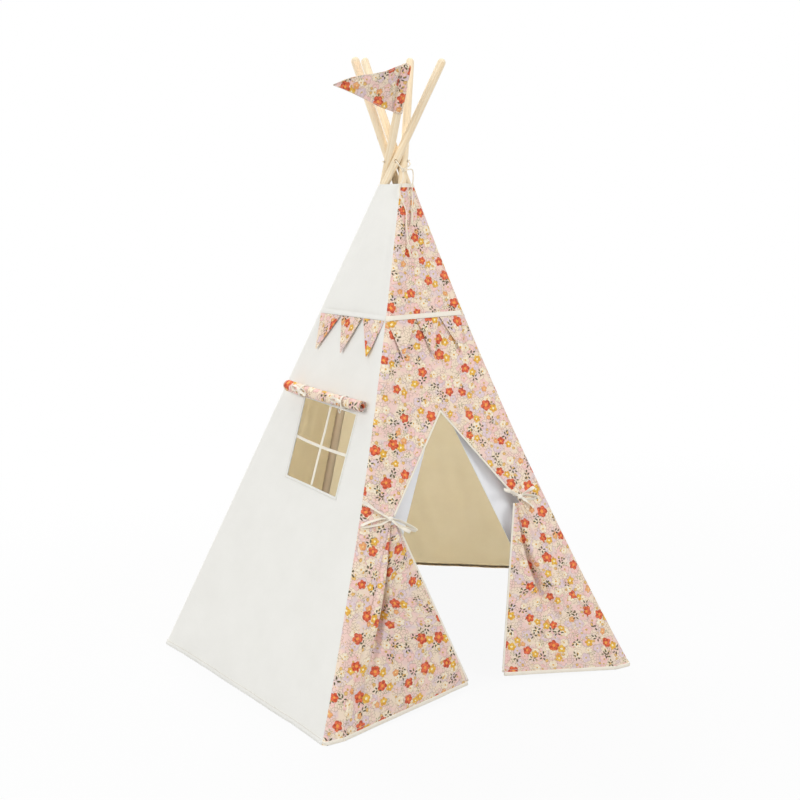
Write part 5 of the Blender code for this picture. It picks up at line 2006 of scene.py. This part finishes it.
@dataclass
class Flag:
    """The pointed flag on its sleeve over one pole's tip."""

    pole: Pole
    finishes: Finishes
    stitches: StitchLine
    hoist: float = 0.125
    fly: float = 0.190
    cloth: float = 0.0011

    def build(self) -> None:
        """Builds sleeve, sail and seam."""
        pole = self.pole
        high = SIZES.pole_length - 0.001
        low = high - self.hoist
        radius = SIZES.pole_diameter / 2 + 0.0008
        away = Vector((-1.0, 0, 0))
        away = (away - pole.rise * away.dot(pole.rise)).normalized()
        face = away.cross(pole.rise).normalized()
        face = face if face.y < 0 else -face
        other = pole.rise.cross(away).normalized()
        rings, flats, sides = [], [], 32
        for inner in (False, True):
            stations = [(distance, 1.0) for distance in steps(low, high - 0.006, 34)]
            for angle in steps(0.15, 1.35, 7):
                stations.append((high - 0.006 + math.sin(angle) * (0.0075 if inner else 0.0086), math.cos(angle)))
            for n, (distance, closing) in list(enumerate(stations))[:: -1 if inner else 1]:
                sizes = []
                for k in range(sides):
                    out = 0.0 if inner else self.cloth + abs(pucker(2 * math.pi * k / sides, 1.5, n * 0.4))
                    sizes.append((radius + out) * closing)
                rings.append(hoop(pole.along(distance), away, other, sizes))
                flats.append([(k / sides * 0.075, distance) for k in range(sides + 1)])
        mesher = Mesher()
        mesher.rings(rings, flats, capped=False)
        sleeve = mesher.object("flag_sleeve")
        start = radius + self.cloth / 2

        def place(u: float, v: float) -> Vector:
            """A point of the sail, from the sleeve to the tip."""
            half = (1 - u) * self.hoist / 2 + u * 0.0015
            middle = (low + high) / 2 + self.hoist * 0.05 * u
            wave = 0.007 * math.sin(2 * math.pi * u) * min(1.0, u / 0.15)
            wave += 0.0020 * math.sin(u * 9.0 + v * 5.0) * eased(u * 4) * (1 - u * 0.5)
            return pole.along(middle + (v - 0.5) * 2 * half) + away * (start + (self.fly - start) * u) + face * wave

        us, vs = steps(0, 1, 80)[::-1], steps(0, 1, 44)
        def flat(u: float, v: float) -> tuple[float, float]:
            """The sail's own coordinates."""
            return -(u * self.fly), (v - 0.5) * self.hoist * (1 - u) + 0.7

        sail = sheet_on("flag_sail", us, vs, place, flat)
        thickened(sail, self.cloth)
        join_into(sail, sleeve)
        sail.name = "flag_cloth"
        wear(sail, self.finishes.print, Slot.PRINT, "flag", "flag")
        sewn = []
        for side in (-1, 1):
            sewn.append([place(0.03, v) + face * 0.0009 * side for v in steps(0.03, 0.97, 40)])
        for v in (0.03, 0.97):
            sewn.append([place(u, v) + face * 0.0009 for u in steps(0.03, 0.93, 60)])
        self.stitches.sew("flag_stitches", sewn, "flag", pitch=0.0034)


# The lacing cord


class Lacing:
    """The cord through the five poles, its front knot and its two tails."""

    KNOT = Vector((-0.0006, -0.0437, -0.0240))
    TO_LEFT = ((-0.0085, -0.0457, -0.0170), (-0.0155, -0.0417, -0.0060))
    BACK = ((0.0235, -0.0372, -0.0090), (0.0120, -0.0427, -0.0170))
    LONG_TOP = ((-0.0012, -0.0452, -0.0290), (-0.0040, -0.0507, -0.0380), (-0.0073, -0.0552, -0.0490))
    LONG_LOW = (
        (-0.0096, -0.0684), (-0.0153, -0.0920), (-0.0128, -0.1308), (-0.0170, -0.1620),
        (-0.0191, -0.1920), (-0.0196, -0.2238), (-0.0152, -0.2539),
    )
    SHORT_TOP = (
        (0.0046, -0.0462, -0.0255), (0.0140, -0.0502, -0.0225), (0.0245, -0.0482, -0.0240),
        (0.0280, -0.0462, -0.0360), (0.0262, -0.0487, -0.0490),
    )
    SHORT_LOW = ((0.0220, -0.0720), (0.0165, -0.1020), (0.0105, -0.1300), (0.0000, -0.1700))

    def __init__(self, tent: Tent, finishes: Finishes, diameter: float = 0.0034) -> None:
        """Takes the tent, the finishes and the cord's thickness."""
        self.tent, self.finishes, self.diameter = tent, finishes, diameter

    def build(self) -> None:
        """Builds lace, knot and tails."""
        self.lace()
        self.tail("long", self.LONG_TOP, self.LONG_LOW)
        self.tail("short", self.SHORT_TOP, self.SHORT_LOW)

    def twisted(self, mesher: Mesher, route: Route, radius: float, sides: int = 15) -> None:
        """Adds a cord of three twisted strands along a route."""

        def size(angle: float, distance: float, share: float) -> float:
            """The strand's bulge at this angle."""
            return radius * (0.84 + 0.18 * abs(math.cos(1.5 * angle - distance * 560.0)))

        mesher.tube(even_route(route, 0.0008), size, sides)

    def through(self) -> list[Vector]:
        """The lace's way: in through the left pole, round through every hole and out at the front."""
        centre, offset = self.tent.crossing, self.tent.offset
        inside = offset - SIZES.pole_diameter / 2 - self.diameter
        mouth = offset + SIZES.pole_diameter / 2 + self.diameter * 0.7
        ways = [self.tent.poles[name].tangent for name in ("front_left", "front_right", "right", "back", "left")]
        lift = UP * (self.diameter / 2 + 0.0003)

        def straight(n: int, distances: Sequence[float], shift: Vector) -> list[Vector]:
            """Along one hole."""
            return [centre + ways[n] * distance + shift for distance in distances]

        def round_to(n: int, m: int, shift: Vector) -> list[Vector]:
            """Round the corner between two holes, clear of both poles."""
            turns = [ways[n].lerp(ways[m], share).normalized() for share in (0.25, 0.5, 0.75)]
            return [centre + turn * mouth * reach + shift for turn, reach in zip(turns, (1.0, 0.92, 1.0))]

        inwards, outwards, level = (mouth, offset, inside), (inside, offset, mouth), Vector()
        route = straight(4, inwards, level) + straight(0, outwards, lift) + round_to(0, 1, lift)
        route += straight(1, inwards, level) + straight(2, outwards, level) + round_to(2, 3, level)
        return route + straight(3, inwards, level) + straight(0, outwards, -lift)

    def lace(self) -> None:
        """The cord through every pole and the knot in front."""
        centre = self.tent.crossing
        knot = centre + self.KNOT
        ends = [[centre + Vector(point) for point in points] for points in (self.TO_LEFT, self.BACK)]
        mesher = Mesher()
        self.twisted(mesher, smooth_route([knot, *ends[0], *self.through(), *ends[1], knot], 6), self.diameter / 2)
        self.knotted(mesher, knot, 0.0120)
        wear(mesher.object("lace_cord"), self.finishes.cord, Slot.CORD, "lashing", "lace")

    def knotted(self, mesher: Mesher, centre: Vector, size: float) -> None:
        """A tight knot: a short cord wound through itself."""
        route = []
        ring, swell = size * 0.24, size * 0.13
        for n in range(97):
            t = 2 * math.pi * n / 96
            reach = ring + swell * math.cos(3 * t)
            away = Vector((reach * math.cos(2 * t), swell * math.sin(3 * t) * 1.1, reach * math.sin(2 * t) * 1.05))
            route.append(centre + away)
        self.twisted(mesher, route, min(self.diameter / 2, size * 0.15), 12)

    def tail(self, word: str, top: Sequence[tuple], low: Sequence[tuple]) -> None:
        """A free end that hangs over the front and ends in a small knot and a tassel."""
        centre, front = self.tent.crossing, self.tent.front
        lift = SIZES.cloth / 2 + SIZES.trim_gap + 0.0100 / 2
        route = [centre + Vector(point) for point in top]
        route += [front.at(front.run_at_x(x, centre.z + drop), centre.z + drop, lift) for x, drop in low]
        line = even_route(smooth_route(route, 8), 0.0015)
        knot = min(range(len(line)), key=lambda n: (line[n] - route[-2]).length)
        path, rest = line[: knot + 1], line[knot:]
        mesher = Mesher()
        self.twisted(mesher, path, self.diameter / 2)
        obj = mesher.object("tail_cord_" + word)
        wear(obj, self.finishes.cord, Slot.CORD, "lashing", "tail_" + word)
        end = Mesher()
        self.knotted(end, route[-2], 0.0150)
        for k in range(14):
            angle = 2 * math.pi * k / 14
            spread = 0.0021 + 0.0004 * (k % 3)
            away = Vector((math.cos(angle), 0.35 * math.sin(angle), 0.2 * math.sin(angle * 2))) * spread
            strand = []
            for n, point in enumerate(rest):
                share = n / (len(rest) - 1)
                wave = Vector((0.0004 * math.sin(share * 9 + k), 0, 0))
                strand.append(point + away * (0.4 + 1.1 * share) + wave)
            cut = max(4, int(len(strand) * (1.0 - 0.05 * (k % 4))))
            end.tube(even_route(strand[:cut], 0.0015), lambda a, d, s: 0.00075 * (1 - 0.4 * s), 6)
        tassel = end.object("tassel_" + word)
        wear(tassel, self.finishes.cord, Slot.CORD, "lashing")
        distances(path)[-1]


@dataclass(frozen=True)
class Studio:
    """The pale floor, the soft light and the camera at the photograph's angle."""

    place: tuple[float, float, float] = (-1.2479, -2.661, 1.2277)
    yaw: float = 0.4586
    pitch: float = -0.1847
    roll: float = -0.0185
    lens: float = 46.096

    def build(self) -> None:
        """Sets up floor, lamps, world and camera."""
        self.floor()
        self.lamps()
        self.world()
        self.camera()

    def floor(self) -> None:
        """A plain white floor that keeps a light shadow."""
        bm = bmesh.new()
        bmesh.ops.create_grid(bm, x_segments=1, y_segments=1, size=14.0, matrix=Matrix.Translation((0, 0, -0.0006)))
        obj = linked_bm("floor", bm)
        nodes = Shading("pale_floor", {"Base Color": (0.60, 0.60, 0.60, 1.0), "Roughness": 0.95})
        glow = nodes.add("ShaderNodeEmission", {"Color": (1, 1, 1, 1), "Strength": 1.0})
        spot = nodes.add("ShaderNodeTexCoord").outputs["Object"]
        bright = nodes.times(nodes.seen(), nodes.ranged(nodes.vector("LENGTH", spot), 1.0, 2.6, 0.93, 1.0))
        mixed = nodes.add("ShaderNodeMixShader", {0: bright, 1: nodes.shader.outputs[0], 2: glow.outputs[0]})
        nodes.tree.links.new(mixed.outputs[0], nodes.tree.nodes["Material Output"].inputs[0])
        obj.data.materials.append(nodes.material)

    def lamps(self) -> None:
        """Soft lamps around the tent; the one behind it shines through the beige cloth.

        The lamp named inside stands for the light that a thin tent lets in, and reaches only the back sleeve and hems.
        """
        for name, spot, aim, size, power in (
            ("left", (-4.0, -1.5, 2.6), (0, 0, 0.8), 2.4, 76.0),
            ("right", (2.0, -3.8, 3.3), (0, 0, 0.9), 2.2, 80.0),
            ("top", (0.2, 0.6, 4.2), (0, 0, 0.7), 3.0, 40.0),
            ("back", (0.22, 3.7, 2.4), (0, 0, 0.5), 2.6, 144.0),
            ("inside", (-1.1, -2.9, 1.2), (0, 0.3, 0.5), 1.0, 70.0),
        ):
            lamp = bpy.data.lights.new(name, "AREA")
            lamp.size, lamp.energy, lamp.shape = size, power, "DISK"
            obj = bpy.data.objects.new(name, lamp)
            obj.location = spot
            obj.rotation_euler = (Vector(aim) - Vector(spot)).to_track_quat("-Z", "Y").to_euler()
            obj.visible_camera = obj.visible_glossy = False
            bpy.context.scene.collection.objects.link(obj)
            if name == "inside":
                shaded = bpy.data.collections.new("in_the_shade")
                for piece in bpy.context.scene.objects:
                    if piece.name in ("tunnel_back", "floor_hem_back_left", "floor_hem_back_right"):
                        shaded.objects.link(piece)
                obj.light_linking.receiver_collection = obj.light_linking.blocker_collection = shaded

    def world(self) -> None:
        """Even white light, and a white background."""
        world = bpy.data.worlds.new("studio")
        world.use_nodes = True
        bpy.context.scene.world = world
        nodes = Nodes(world.node_tree)
        back = world.node_tree.nodes["Background"]
        back.inputs[0].default_value = (1, 1, 1, 1)
        world.node_tree.links.new(nodes.fitted(nodes.seen(), 0.53, 0.47), back.inputs[1])

    def camera(self) -> None:
        """The camera where the photograph was taken from."""
        ahead = Vector((
            math.sin(self.yaw) * math.cos(self.pitch),
            math.cos(self.yaw) * math.cos(self.pitch),
            math.sin(self.pitch),
        ))
        level = Vector((math.cos(self.yaw), -math.sin(self.yaw), 0))
        over = level.cross(ahead)
        right = level * math.cos(self.roll) + over * math.sin(self.roll)
        above = over * math.cos(self.roll) - level * math.sin(self.roll)
        data = bpy.data.cameras.new("camera")
        data.lens, data.sensor_width = self.lens, 36.0
        obj = bpy.data.objects.new("camera", data)
        turn = Matrix((right, above, -ahead)).transposed().to_4x4()
        obj.matrix_world = Matrix.Translation(self.place) @ turn
        bpy.context.scene.collection.objects.link(obj)
        bpy.context.scene.camera = obj
        bpy.context.scene.view_settings.view_transform = "Standard"


def main() -> None:
    """Builds the tent piece by piece, then the studio."""
    logging.basicConfig(level=logging.INFO, format="%(message)s")
    tent = Tent()
    finishes = Finishes()
    stitches = StitchLine(finishes.thread)
    Poles(tent, finishes).build()
    crumples = Walls(tent, finishes, stitches).build()
    right_half = crumple_of(tent.front, tent.front.second)
    Front(tent, finishes, stitches, crumples["front"], right_half).build()
    WindowSet(tent, finishes, stitches, crumples["left"]).build()
    for wall, word in ((tent.left, "left"), (tent.front, "front"), (tent.right, "right")):
        Bunting(wall, word, finishes, crumples[word]).build()
    Flag(tent.poles["back"], finishes, stitches).build()
    Lacing(tent, finishes).build()
    Studio().build()
    LOG.info("done")


if __name__ == "__main__":
    main()
